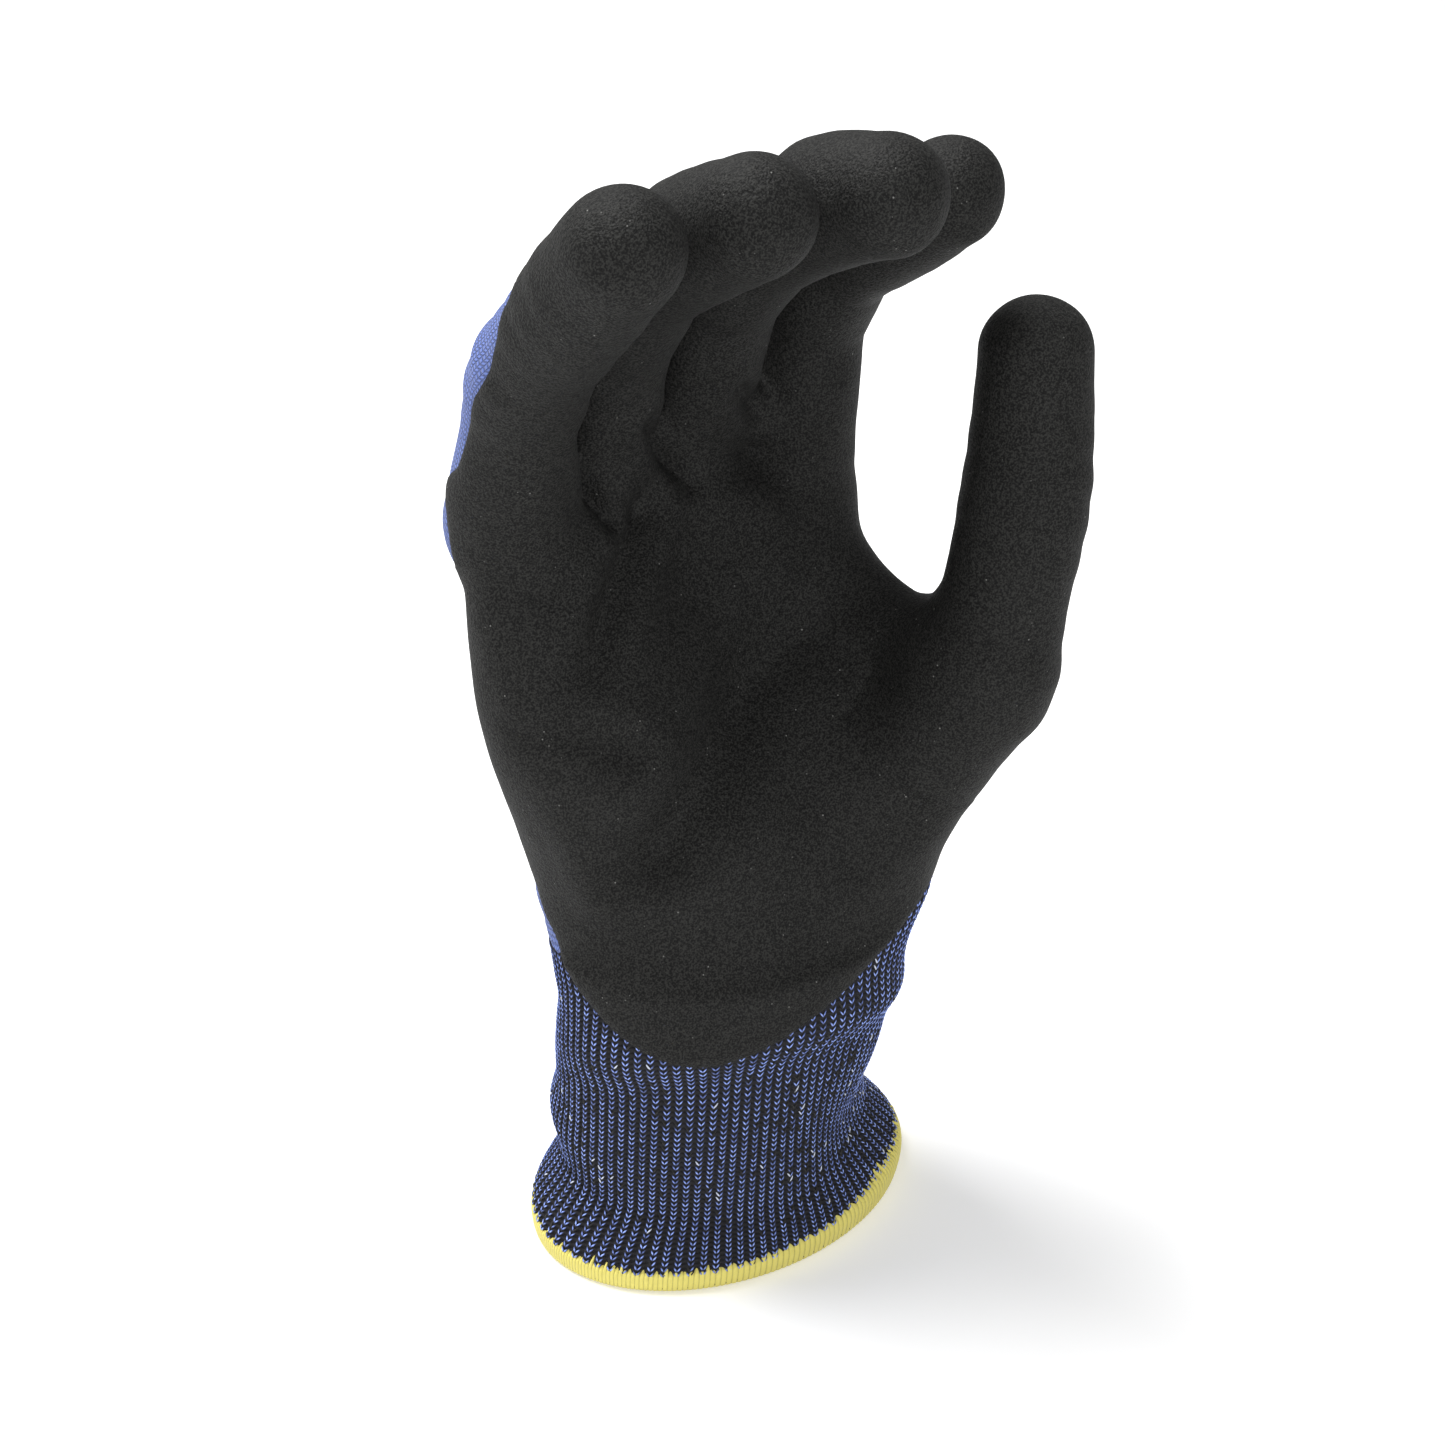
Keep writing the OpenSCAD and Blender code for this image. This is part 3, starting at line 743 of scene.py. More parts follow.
class Skin:
    """A material being built round one Principled shader."""

    def __init__(self, name):
        self.mat = bpy.data.materials.new(name)
        self.mat.use_nodes = True
        self.tree = self.mat.node_tree
        self.shader = self.tree.nodes["Principled BSDF"]
        self.root = Socket(self.tree, None)

    def where(self, kind="Object"):
        return self.root.node("ShaderNodeTexCoord", {}, output=kind)

    def value(self, name):
        return self.root.node("ShaderNodeAttribute", {}, output="Fac", attribute_name=name)

    def noise(self, scale, detail):
        return self.root.node("ShaderNodeTexNoise", {"Vector": self.where(), "Scale": scale,
                                                     "Detail": detail}, output="Fac")

    def cells(self, scale):
        return self.root.node("ShaderNodeTexVoronoi", {"Vector": self.where(), "Scale": scale},
                              output="Distance")

    def stitches(self):
        """The two stitch coordinates."""
        split = self.root.node("ShaderNodeSeparateXYZ", {"Vector": self.where("UV")})
        return split, Socket(self.tree, split.socket.node.outputs[1])

    def bump(self, height, strength, distance):
        n = self.root.node("ShaderNodeBump", {"Height": height, "Strength": strength,
                                              "Distance": distance})
        self.tree.links.new(n.socket, self.shader.inputs["Normal"])

    def set(self, **values):
        for key, v in values.items():
            socket = self.shader.inputs[key.replace("_", " ")]
            if isinstance(v, Socket):
                self.tree.links.new(v.socket, socket)
            else:
                socket.default_value = v
        return self.mat


def shaded(name, times, more=0.0):
    """One of the glove's colours made times as bright, plus more."""
    return tuple(min(1, c * times + more) for c in tint(name)[:3]) + (1,)


def nitrile_skin():
    """Sandy nitrile foam: fine grains, a few pale specks, and soft dull patches."""
    s = Skin("sandy nitrile")
    grain = s.noise(2900, 1.0)
    coarse = s.noise(1400, 3.0)
    patch = s.noise(55, 3.0)
    tone = (grain * 0.75 + coarse * 0.25).ramp(0.40, 0.62)
    col = tone.mix(shaded("nitrile", 0.1), shaded("nitrile", 3.8))
    specks = s.cells(620).ramp(0.12, 0.05) * s.noise(260, 1.0).ramp(0.55, 0.7)
    col = specks.mix(col, (0.22, 0.22, 0.21, 1))
    height = grain * 0.5 + coarse * 0.9 + patch * 0.4
    s.bump(height, 0.75, 0.0005)
    rough = patch * 0.16 + 0.62
    return s.set(Base_Color=col, Roughness=rough, Specular_IOR_Level=0.24)


def jersey_skin():
    """Fine jersey knit in blue yarn: rows of small V stitches from the stitch coordinates.  Its
    colour holds painted shade: blue x 0.42 in the gutters between the legs, rising to full blue on
    each leg's crest, with random fuzz.
    """
    s = Skin("blue jersey knit")
    x, y = s.stitches()
    arm = (x.math("FRACT") - 0.5).math("ABSOLUTE")
    row = (y - arm * 0.9).math("FRACT")
    leg = (row - 0.5).math("ABSOLUTE").ramp(0.5, 0.12)
    gutter = arm.ramp(0.5, 0.36) * arm.ramp(0.0, 0.1)
    high = leg * gutter
    fuzz = s.noise(1400, 3.0)
    # painted shade: the colour darkens from the legs' crests into the gutters between them
    col = (high * 0.8 + fuzz * 0.35).ramp(0.1, 0.9)
    col = col.mix(shaded("blue", 0.42), tint("blue"))
    s.bump(high + fuzz * 0.25, 0.8, 0.0006)
    return s.set(Base_Color=col, Roughness=0.85, Sheen_Weight=0.12)


def ground_skin():
    """Black purl knit between and under the blue ribs, with its low crosswise loops.  Each row of
    loops carries a painted highlight, black x 2.6 plus 0.004, on its crest and painted shade
    between the rows, with random fuzz.
    """
    s = Skin("black purl knit")
    _, y = s.stitches()
    row = (y.math("FRACT") - 0.5).math("ABSOLUTE").ramp(0.5, 0.1)
    fuzz = s.noise(1500, 3.0)
    # painted highlight on each row of loops, painted shade between the rows
    col = (row * 0.6 + fuzz * 0.5).ramp(0.3, 1.0)
    col = col.mix(tint("black"), shaded("black", 2.6, 0.004))
    s.bump(row + fuzz * 0.3, 0.8, 0.0005)
    return s.set(Base_Color=col, Roughness=0.9)


def yarn_skin():
    """Rib yarn: mostly blue, some stitches black, a few with a pale fibre.  The blue carries
    painted light: a painted highlight, blue x 1.8 plus 0.07, on the top of each leg's section and
    painted shade, blue x 0.12, on its lower side, scaled by each leg's random tone.
    """
    s = Skin("rib yarn")
    kind = s.value("kind")
    shade = s.value("shade")
    fuzz = s.noise(2600, 2.0)
    # lit is painted light: it grows with the height on the leg's section (crest) and with the
    # leg's random tone
    lit = s.value("crest").ramp(0.1, 0.9) * (shade * 0.8 + fuzz * 0.5 + 0.2)
    low = lit.ramp(0.2, 0.75).mix(shaded("blue", 0.12), tint("blue"))
    col = lit.ramp(0.6, 1.05).mix(low, shaded("blue", 1.8, 0.07))
    col = kind.ramp(0.25, 0.75).mix(col, tint("black"))
    col = (kind * -1.0).ramp(0.25, 0.75).mix(col, tint("fleck"))
    s.bump(fuzz, 0.5, 0.0002)
    return s.set(Base_Color=col, Roughness=0.7, Sheen_Weight=0.1)


def hem_skin():
    """Yellow overlock thread, with painted shade, yellow x 0.62, in the grooves between threads
    rising to full yellow on their ridges, and random fuzz.
    """
    s = Skin("overlock thread")
    groove = s.value("groove")
    fuzz = s.noise(2400, 3.0)
    # painted shade in the grooves between threads
    col = (groove * 0.9 + fuzz * 0.3).ramp(0.05, 0.75)
    col = col.mix(shaded("yellow", 0.62), tint("yellow"))
    s.bump(fuzz, 0.4, 0.0003)
    return s.set(Base_Color=col, Roughness=0.65, Sheen_Weight=0.15)


def elastic_skin():
    s = Skin("elastic yarn")
    s.bump(s.noise(1800, 2.0), 0.4, 0.0003)
    return s.set(Base_Color=tint("elastic"), Roughness=0.6)


_skins = {}


def skin(name):
    """Each material is made once, by the function named after it."""
    if name not in _skins:
        _skins[name] = {"nitrile": nitrile_skin, "jersey": jersey_skin, "ground": ground_skin,
                        "yarn": yarn_skin, "hem": hem_skin, "elastic": elastic_skin}[name]()
    return _skins[name]


# ---------------------------------------------------------------- the shared skin

_net = {}


def hand_net():
    """The hand's skin above the cuff as triangles: points, faces, coating value, outward
    normals, stall that each point belongs to, length along that stall, and each face's least
    coating value."""
    if _net:
        return _net
    step = shape().step * 1
    pts = np.concatenate([s.p for s in stalls().values()] + [np.array([[0, 0, 50]])])
    low = pts.min(0) - 24
    high = pts.max(0) + 16
    low[0], high[0] = min(low[0], -50), max(high[0], 50)
    low[1], high[1] = min(low[1], -40), max(high[1], 50)
    low[2] = 46
    p, quads = net_over(hand_field, low, high, step)
    p = relax(p, quads, 3, hand_field)
    tris = np.concatenate([quads[:, [0, 1, 2]], quads[:, [0, 2, 3]]])
    value = coated(p)
    p, value = snap_to_edge(p, tris, value)
    n = point_normals(p, tris)
    p = p + n * wrinkles(p, n)[:, None] + swell(p)
    n = point_normals(p, tris)
    who = owner(p)
    station = np.zeros(len(p))
    for k, name in enumerate(STALLS):
        mine = who == k
        station[mine] = along_stall(p[mine], stalls()[name])[0]
    _net.update(p=p, tris=tris, value=value, n=n, who=who, station=station,
                least=value[tris].min(1))
    return _net


# folds of the palm side: from, to (thumbward and upward from the heel), depth and half width
FOLDS = (((22, 66), (-27, 26), 4.0, 6.0), ((-46, 52), (-31, 46), 2.0, 3.4),
         ((-37, 56), (-15, 87), 3.2, 3.6), ((-2, 90), (-16, 104), 1.8, 2.0),
         ((-35, 106), (-23, 87), 2.2, 2.1), ((14, 100), (4, 107), 1.4, 1.9),
         ((26, 34), (10, 16), 1.2, 5.0))


def wrinkles(p, n):
    """Soft swells of a filled glove, and the folds of its palm side: each fold is a groove,
    depth e^(-(d/w)^2) with d the distance from its line, with a lower swell on either side."""
    hx, _, hz = to_hand(p[:, 0], p[:, 1], p[:, 2])
    total = 0.28 * lumps(p, 13, 1) + 0.14 * lumps(p, 5.5, 2)
    facing = ease((-(n @ hand_turn()[:, 1]) - 0.1) / 0.5) * (owner(p) < THUMB)
    for (x0, z0), (x1, z1), deep, wide in FOLDS:
        dx, dz = x1 - x0, z1 - z0
        t = np.clip(((hx - x0) * dx + (hz - z0) * dz) / (dx * dx + dz * dz), 0, 1)
        bend = 0.06 * np.hypot(dx, dz) * np.sin(np.pi * t)
        d = np.hypot(hx - x0 - t * dx, hz - z0 - t * dz - bend)
        fade = (0.35 + 0.65 * ease(1.4 * t + 0.2)) * ease((hz - 9) / 10)
        total = total - facing * deep * fade * (np.exp(-(d / wide) ** 2)
                                                - 0.35 * np.exp(-((d - 2.1 * wide) / wide) ** 2))
    return total


# the jersey's stitches, a stall's mean radius, and how far the knit runs over a knuckle, in mm
STITCH_WIDE, STITCH_TALL, STALL_R, KNUCKLE_ROWS = 1.75, 1.2, 10.5, 12


def knit_uv(p, who, station):
    """Stitch coordinates: one unit is one stitch across or one row up.  Rows follow the knit
    round the outside of each bend, station + radius x turned angle."""
    hx, hy, hz = to_hand(p[:, 0], p[:, 1], p[:, 2])
    across = np.sign(hx) * (np.abs(hx) + np.maximum(10 - hy, 0) * ease((np.abs(hx) - 14) / 12))
    up = hz + 0.8 * np.maximum(16 - hy, 0) * ease((hz - 66) / 16)
    for k, name in enumerate(FINGERS):
        s = stalls()[name]
        _, near, away, turn_by = along_stall(p, s)
        k0 = to_hand(*s.p[0])
        w = ease((station - 2) / 10) * (who == k)
        across = across * (1 - w) + (k0[0] + STALL_R * turn_by) * w
        bends = np.arccos(np.clip((s.d[:-1] * s.d[1:]).sum(1), -1, 1))
        turned = np.concatenate([[0], np.cumsum(bends)])[near] * STALL_R * np.cos(turn_by)
        far = np.linalg.norm(away, axis=1) + 1e-9
        fan = far * np.arcsin(np.clip((away * s.d[near]).sum(1) / far, -1, 1))
        up = up * (1 - w) + (k0[2] + KNUCKLE_ROWS + station + turned + fan) * w
    return np.stack([across / STITCH_WIDE, up / STITCH_TALL], 1)


# half the length of the fold that each piece starts with, mm
FOLD_HALF = {"base": 5.5, "mid": 8.0, "tip": 4.6}
THUMB_FOLD_HALF = {"base": 6.6, "tip": 5.6}
# how far from the knuckle a finger's first piece starts, and a length beyond any stall, mm
WEB_LINE, BEYOND = 12.5, 1e6


def splits(name):
    """Where a stall's skin is cut into pieces: from the web, and in the middle of each stiff
    length, so that no piece crosses two folds."""
    s = stalls()[name]
    if name == "thumb":
        return [s.s[1] - THUMB_FOLD_HALF["base"] - 0.6, (s.s[1] + s.s[2]) / 2 + 0.5, BEYOND]
    base = (shape().root_out + FOLD_HALF["base"] + s.s[1] - FOLD_HALF["mid"]) / 2
    mid = (s.s[1] + FOLD_HALF["mid"] + s.s[2] - FOLD_HALF["tip"]) / 2
    return [WEB_LINE, base, mid, BEYOND]


def groups():
    """Name, stall number, and the lengths between which each piece of skin lies."""
    found = []
    for k, name in enumerate(STALLS):
        cut = splits(name)
        for i, part in enumerate(parts_of(name)):
            found.append((name, k, part, cut[i], cut[i + 1]))
    return found


def parts_of(name):
    return tuple(LENGTHS) if name != "thumb" else ("base", "tip")


def bend_piece(obj, name, part):
    """Works out the two ends of the fold at the start of a piece of a stall, which nothing uses,
    and bakes the piece's transform into its points.
    """
    s = stalls()[name]
    bodies = ("hand",) + tuple(f"{name}_{n}" for n in parts_of(name))
    k = bodies.index(f"{name}_{part}")
    half = (THUMB_FOLD_HALF if name == "thumb" else FOLD_HALF)[part]
    i = k if name == "thumb" else k - 1
    if i == 0:
        root = 1000 * np.array(JOINTS[f"{name}_root_fold"]["pos_m"])
        start, end = root - half * s.d[0], root + half * s.d[0]
    else:
        start, end = s.p[i] - half * s.d[i - 1], s.p[i] + half * s.d[i]
    tuple(start / 1000)
    tuple(end / 1000)
    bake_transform(obj)


def between(net, k, low, high):
    """Faces of stall k between two lengths."""
    st = net["station"][net["tris"]].mean(1)
    return ((net["who"][net["tris"]] == k).sum(1) >= 2) & (st > low) & (st <= high)


# height of the coating's lip, how far in it is full, how far the knit runs under it, and how
# deep the jersey dives under the top of the rib knit, mm
LIP, LIP_WIDE, UNDERLAP, DIVE = 0.22, 2.4, 4, 1.5


def coat_height(value):
    """Height of the coating over the knit: a rounded lip at its edge, then even."""
    t = np.clip(value / LIP_WIDE, 0, 1)
    return LIP + (shape().coat - LIP) * np.sqrt(1 - (1 - t) ** 2)


def add_coating(name, keep, mat):
    net = hand_net()
    full = keep & (net["least"] >= 0)
    p, f, used = subset(net["p"], net["tris"], full)
    p = p + net["n"][used] * coat_height(net["value"][used])[:, None]
    obj = piece(name, p, f, mat)
    set_normals(obj, used, "coat")
    return obj


def set_normals(obj, used, key):
    """Keeps the whole skin's normals on a piece, so that no seam shows where pieces meet."""
    net = hand_net()
    if "n_" + key not in net:
        q = net["p"] + net["n"] * (coat_height(net["value"])[:, None] if key == "coat" else 0)
        t = net["tris"]
        if key == "coat":
            t = t[net["least"] >= 0]
        net["n_" + key] = point_normals(q, t)
    obj.data.normals_split_custom_set_from_vertices(net["n_" + key][used].tolist())


def add_knit(name, keep, mat):
    """The knit of a length: the skin beside the coating and a little way under it."""
    net = hand_net()
    bare = keep & (net["least"] < UNDERLAP)
    p, f, used = subset(net["p"], net["tris"], bare)
    uv = knit_uv(p, net["who"][used], net["station"][used])
    turn_at = np.arctan2(p[:, 1] - lean_at(p[:, 2]), p[:, 0])
    level = p[:, 2] + lean_slope() * cuff().wrist_d / 2 * np.sin(turn_at)
    p = p - net["n"][used] * DIVE * ease((cuff().top - 1.7 - level) / 0.8)[:, None]
    obj = piece(name, p, f, mat, uv=uv)
    set_normals(obj, used, "knit")
    return obj


# ---------------------------------------------------------------- cuff

def cuff_surface(turns, rows):
    """The hand's skin met by rays from a leaning middle line, for each row and turn.  Rows lie
    level at the hem and tilt with the hand above the wrist.  Each ray's length is halved in on
    the change of the field's sign."""
    a = turns[None, :]
    v = rows[:, None]
    tilt = lean_slope() * cuff().wrist_d / 2
    z = v - tilt * np.sin(a) * ease((v - 30) / 42)
    back = lean_at(z)
    ca, sa = np.cos(a), np.sin(a)
    low = np.full(z.shape, 8.0)
    high = low + 56
    for _ in range(22):
        r = (low + high) / 2
        out = hand_field(r * ca, back + r * sa, z) > 0
        high = np.where(out, r, high)
        low = np.where(out, low, r)
    r = (low + high) / 2
    return np.stack([r * ca, back + r * sa, z], -1)


def even_turns(count):
    """Angles that part the wrist's oval into equal lengths."""
    fine = np.linspace(0, 2 * np.pi, 4001)
    a, b = cuff().wrist_w / 2, cuff().wrist_d / 2
    x, y = a * np.cos(fine), b * np.sin(fine)
    s = np.concatenate([[0], np.cumsum(np.hypot(np.diff(x), np.diff(y)))])
    at = np.interp(np.arange(count) / count * s[-1], s, fine)
    return np.arctan2(b * np.sin(at), a * np.cos(at)) % (2 * np.pi)


def rib_sheet(per_rib, rise):
    """The cuff's skin as a grid, its outward normals and its upward and sideways directions."""
    c = cuff()
    turns = even_turns(c.ribs * per_rib)
    fine = np.linspace(1.2, c.top, 400)
    a = cuff_half(fine, DIP_TURN)[0]
    length_up = np.concatenate([[0], np.cumsum(np.hypot(np.diff(fine), np.diff(a)))])
    heights = np.interp(np.arange(0, length_up[-1], rise), length_up, fine)
    p = cuff_surface(turns, heights)
    p = p + swell(p)
    side = np.roll(p, -1, 1) - np.roll(p, 1, 1)
    up = np.gradient(p, axis=0)
    return p, unit(np.cross(side, up)), side, up, heights


def rib_height(u):
    """Profile across one rib: a rounded crest and a furrow, u from 0 to 1 over a rib."""
    return -cuff().rib_depth * ease(np.abs(2 * u - 1) * 1.5 - 0.55)


def add_cuff_ground():
    """The black ground of the rib knit, with its furrows."""
    per = 8
    p, n, _, _, heights = rib_sheet(per, cuff().course)
    u = (np.arange(p.shape[1]) % per) / per
    fade = ease((cuff().top - 1 - heights) / 4)[:, None]
    under = ease(coated(p.reshape(-1, 3)).reshape(p.shape[:2]) / 4)
    end = 0.6 * ease((heights - cuff().top + 2.2) / 0.8)[:, None]
    p = p + n * (rib_height(u)[None, :] * fade - 1.2 * under - end)[..., None]
    uv = np.stack(np.broadcast_arrays(np.arange(p.shape[1])[None, :] / per,
                                      np.arange(len(heights))[:, None] * 1.0), -1)
    rows, cols = p.shape[:2]
    faces = grid_faces(rows, cols, True)
    obj = piece("rib_knit_ground", p.reshape(-1, 3), faces, skin("ground"),
                uv=uv.reshape(-1, 2))
    solid = obj.modifiers.new("wall", "SOLIDIFY")
    solid.thickness = 0.0011
    solid.offset = -1
    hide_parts("cuff_rib", "wrist_flex", "wrist_rib")
    fold_at_wrist(obj)


def fold_at_wrist(obj):
    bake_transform(obj)


def hem_height(turn_at):
    """The hem's height, h + more x e^(-((turn - HEM_TURN) / 0.85)^2)."""
    c = cuff()
    return c.hem_h + c.hem_more * np.exp(-(turn_from(turn_at, HEM_TURN) / 0.85) ** 2)


def stitch_leg():
    """One leg of a V stitch, 1 long and 1 wide: a yarn with a fat middle and thin ends.  The
    radius is sin(pi t)^0.5 along it and it arches up by sin(pi t)."""
    t = np.array([0.0, 0.16, 0.5, 0.84, 1.0])
    sides = 5
    r = np.sqrt(np.sin(np.pi * np.clip(t, 0.03, 0.97)))
    a = 2 * np.pi * np.arange(sides) / sides
    along = (t - 0.5)[:, None] + 0 * a[None, :]
    across = 0.5 * r[:, None] * np.cos(a)[None, :]
    high = 0.5 * r[:, None] * np.sin(a)[None, :] + 0.35 * np.sin(np.pi * t)[:, None]
    p = np.stack([across, along, high], -1).reshape(-1, 3)
    return p, grid_faces(len(t), sides, True)


# a V's legs: lean in degrees, then parts of the rib's pitch apart and wide, and of a row long
LEG_LEAN, LEG_APART, LEG_WIDE, LEG_LONG = 35, 0.142, 0.155, 1.14


def add_rib_yarn():
    """Blue V stitches up every rib: two legs to a stitch, laid on the cuff's skin wherever the
    coating doesn't cover them."""
    c = cuff()
    p, n, side, up, _ = rib_sheet(4, c.course)
    rows, cols = p[:, 2::4].shape[:2]
    flat = [a[:, 2::4].reshape(-1, 3) for a in (p, n, side, up)]
    row = np.repeat(np.arange(rows), cols)
    col = np.tile(np.arange(cols), rows)
    hem = hem_height(np.arctan2(flat[0][:, 1], flat[0][:, 0]))
    show = (coated(flat[0]) < 0.3) & (row < rows - 1) & (flat[0][:, 2] > hem - 1.5)
    base, nn, ss, uu = (a[show] for a in flat)
    col = col[show]
    pitch = 2 * np.linalg.norm(ss, axis=1)
    rise = np.linalg.norm(uu, axis=1)
    ss, uu = unit(ss), unit(uu)
    leg, faces = stitch_leg()
    rnd = np.random.default_rng(7)
    zone = np.exp(-((base[:, 2] - 25) / 16) ** 2)
    dark_rib = hashed(col, 0, 0, 3) > 0.8
    zone, dark_rib = np.tile(zone, 2), np.tile(dark_rib, 2)
    dark = rnd.random(2 * len(base)) < 0.02 + 0.1 * zone * (0.35 + dark_rib)
    pale = rnd.random(2 * len(base)) < 0.006 + 0.016 * zone
    tone = rnd.random(len(base))
    made = []
    for hand in (-1, 1):
        lean = np.radians(LEG_LEAN) * hand
        along = uu * np.cos(lean) + ss * np.sin(lean)
        across = ss * np.cos(lean) - uu * np.sin(lean)
        where = base + ss * (hand * LEG_APART * pitch)[:, None] + nn * 0.1
        size = rise[:, None] * LEG_LONG
        wide = LEG_WIDE * pitch[:, None]
        made.append(where[:, None, :] + leg[None, :, 1:2] * (along * size)[:, None, :]
                    + leg[None, :, 0:1] * (across * wide)[:, None, :]
                    + leg[None, :, 2:3] * (nn * wide * 0.8)[:, None, :])
    pts = np.concatenate(made)
    kind = np.where(pale, -1.0, np.where(dark, 1.0, 0.0))
    tone = np.tile(tone, 2) * 0.5 + 0.5 * np.random.default_rng(8).random(2 * len(base))
    half = np.tile(base[:, 1] < 0, 2)
    for name, pick in (("rib_yarn_front", half), ("rib_yarn_back", ~half)):
        q = pts[pick]
        count, size = q.shape[:2]
        f = (faces[None] + size * np.arange(count)[:, None, None]).reshape(-1, 4)
        # crest, the height on each leg's section, sets the yarn's painted highlight and painted
        # shade
        obj = piece(name, q.reshape(-1, 3), f, skin("yarn"),
                    values={"kind": np.repeat(kind[pick], size),
                            "shade": np.repeat(tone[pick], size),
                            "crest": np.tile(leg[:, 2] / leg[:, 2].max(), count)})
        fold_at_wrist(obj)


# the elastic yarn: height between turns, half thickness, and how far inside the skin, mm
ELASTIC_STEP, ELASTIC_R, ELASTIC_IN = 5.0, 0.4, 2.1


def add_elastic():
    """Rings of elastic yarn laid against the inside of the cuff, each a round tube that follows
    the knit's inner face."""
    low, high = (1000 * c[2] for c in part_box("cuff_elastic"))
    count, sides = ((480, 8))
    heights = np.arange(low + ELASTIC_R, high, ELASTIC_STEP)
    turns = 2 * np.pi * np.arange(count) / count
    p = cuff_surface(turns, heights)
    p = p + swell(p)
    out = unit(np.cross(np.roll(p, -1, 1) - np.roll(p, 1, 1), np.array([0, 0, 1.0])))
    a = 2 * np.pi * np.arange(sides) / sides
    tube = (p[:, :, None] + (ELASTIC_R * np.cos(a)[:, None] - ELASTIC_IN) * out[:, :, None]
            + ELASTIC_R * np.sin(a)[:, None] * np.array([0, 0, 1.0]))
    faces = np.concatenate([grid_faces(count + 1, sides, True) % (count * sides)
                            + i * count * sides for i in range(len(heights))])
    obj = piece("elastic_rings", tube.reshape(-1, 3), faces, skin("elastic"))
    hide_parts("cuff_elastic")
    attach(obj, "cuff")


# the hem's section: height of its rounded foot and its thickness, mm, and the parts of the
# section that run down the outside and under the edge
HEM_FOOT, HEM_THICK, HEM_OUTSIDE, HEM_UNDER = 0.9, 3.4, 0.5, 0.18


def add_hem():
    """Threads laid side by side over the cuff's edge.  A section runs down the outside, under
    the edge and up the inside; each thread stands proud by |cos|, and every stitch ends in a
    tooth of its own height."""
    c = cuff()
    per = 5
    count = c.threads * per
    turns = even_turns(count)
    k = np.arange(count) / per
    thread = np.floor(k)
    ridge = np.abs(np.cos(np.pi * (k - thread - 0.5))) ** 0.7
    tall = hashed(thread, 0, 0, 5)
    tooth = ridge * (0.25 + 1.2 * tall ** 2) * np.where(thread % 2 > 0, 1, 0.45)
    high = hem_height(turns)
    top = high - 0.4 + tooth
    t = np.linspace(0, 1, 22)
    rows = []
    for v in t:
        if v < HEM_OUTSIDE:
            w = v / HEM_OUTSIDE
            z = top * (1 - w) + HEM_FOOT * w
            out = 0.28 * np.sin(np.pi * np.clip(w * 1.05, 0, 1)) - (1 - ease(w / 0.18))
        elif v < HEM_OUTSIDE + HEM_UNDER:
            w = (v - HEM_OUTSIDE) / HEM_UNDER
            z = HEM_FOOT - HEM_FOOT * np.sin(np.pi * w) + 0 * top
            out = -HEM_THICK * ease(w)
        else:
            w = (v - HEM_OUTSIDE - HEM_UNDER) / (1 - HEM_OUTSIDE - HEM_UNDER)
            z = HEM_FOOT + (high - HEM_FOOT) * w
            out = -HEM_THICK - 0.2 * np.sin(np.pi * w) + ease((w - 0.85) / 0.15)
        a, b = cuff_half(z, turns)
        base = np.stack([a * np.cos(turns) + 1.0, b * np.sin(turns) - 0.8, z], -1)
        n = unit(np.stack([np.cos(turns) / a, np.sin(turns) / b, 0 * turns], -1))
        face = 1.0 if v < 0.6 else -1.0
        proud = 0.16 * (ridge - 0.5) * face
        rows.append(base + n * (out + proud)[:, None])
    p = np.array(rows)
    p[..., 2] = np.maximum(p[..., 2], 0)
    faces = grid_faces(len(t), count, True)[:, ::-1]
    # groove, 1 on each thread's ridge and 0 between them, sets the hem's painted shade
    groove = np.broadcast_to(ridge, p.shape[:2]).ravel()
    obj = piece("overlocked_hem", p.reshape(-1, 3), faces, skin("hem"),
                values={"groove": groove})
    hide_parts("hem_overlock")
    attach(obj, "cuff")


# ---------------------------------------------------------------- stage

# strength of the floor's own light and of the sky, and each lamp's place, size and power
GLOW, SKY = 0.24, 0.38
LAMPS = (("key", (-0.26, 0.57, 1.3), 0.85, 26.0), ("fill", (-0.35, -1.05, 0.6), 0.8, 6.0))
FLOOR = 6


def add_stage():
    scene = bpy.context.scene
    add_floor(scene)
    scene.world = bpy.data.worlds.new("studio")
    scene.world.use_nodes = True
    back = scene.world.node_tree.nodes["Background"]
    back.inputs["Color"].default_value = (1, 1, 1, 1)
    back.inputs["Strength"].default_value = SKY
    for name, at, size, power in LAMPS:
        lamp = bpy.data.lights.new(name, "AREA")
        lamp.shape = "DISK"
        lamp.size = size
        lamp.energy = power
        obj = bpy.data.objects.new(name, lamp)
        scene.collection.objects.link(obj)
        obj.location = at
        aim = Vector((0, 0, 0.1)) - Vector(at)
        obj.rotation_euler = aim.to_track_quat("-Z", "Y").to_euler()
    add_camera(scene)
    scene.view_settings.view_transform = "Standard"


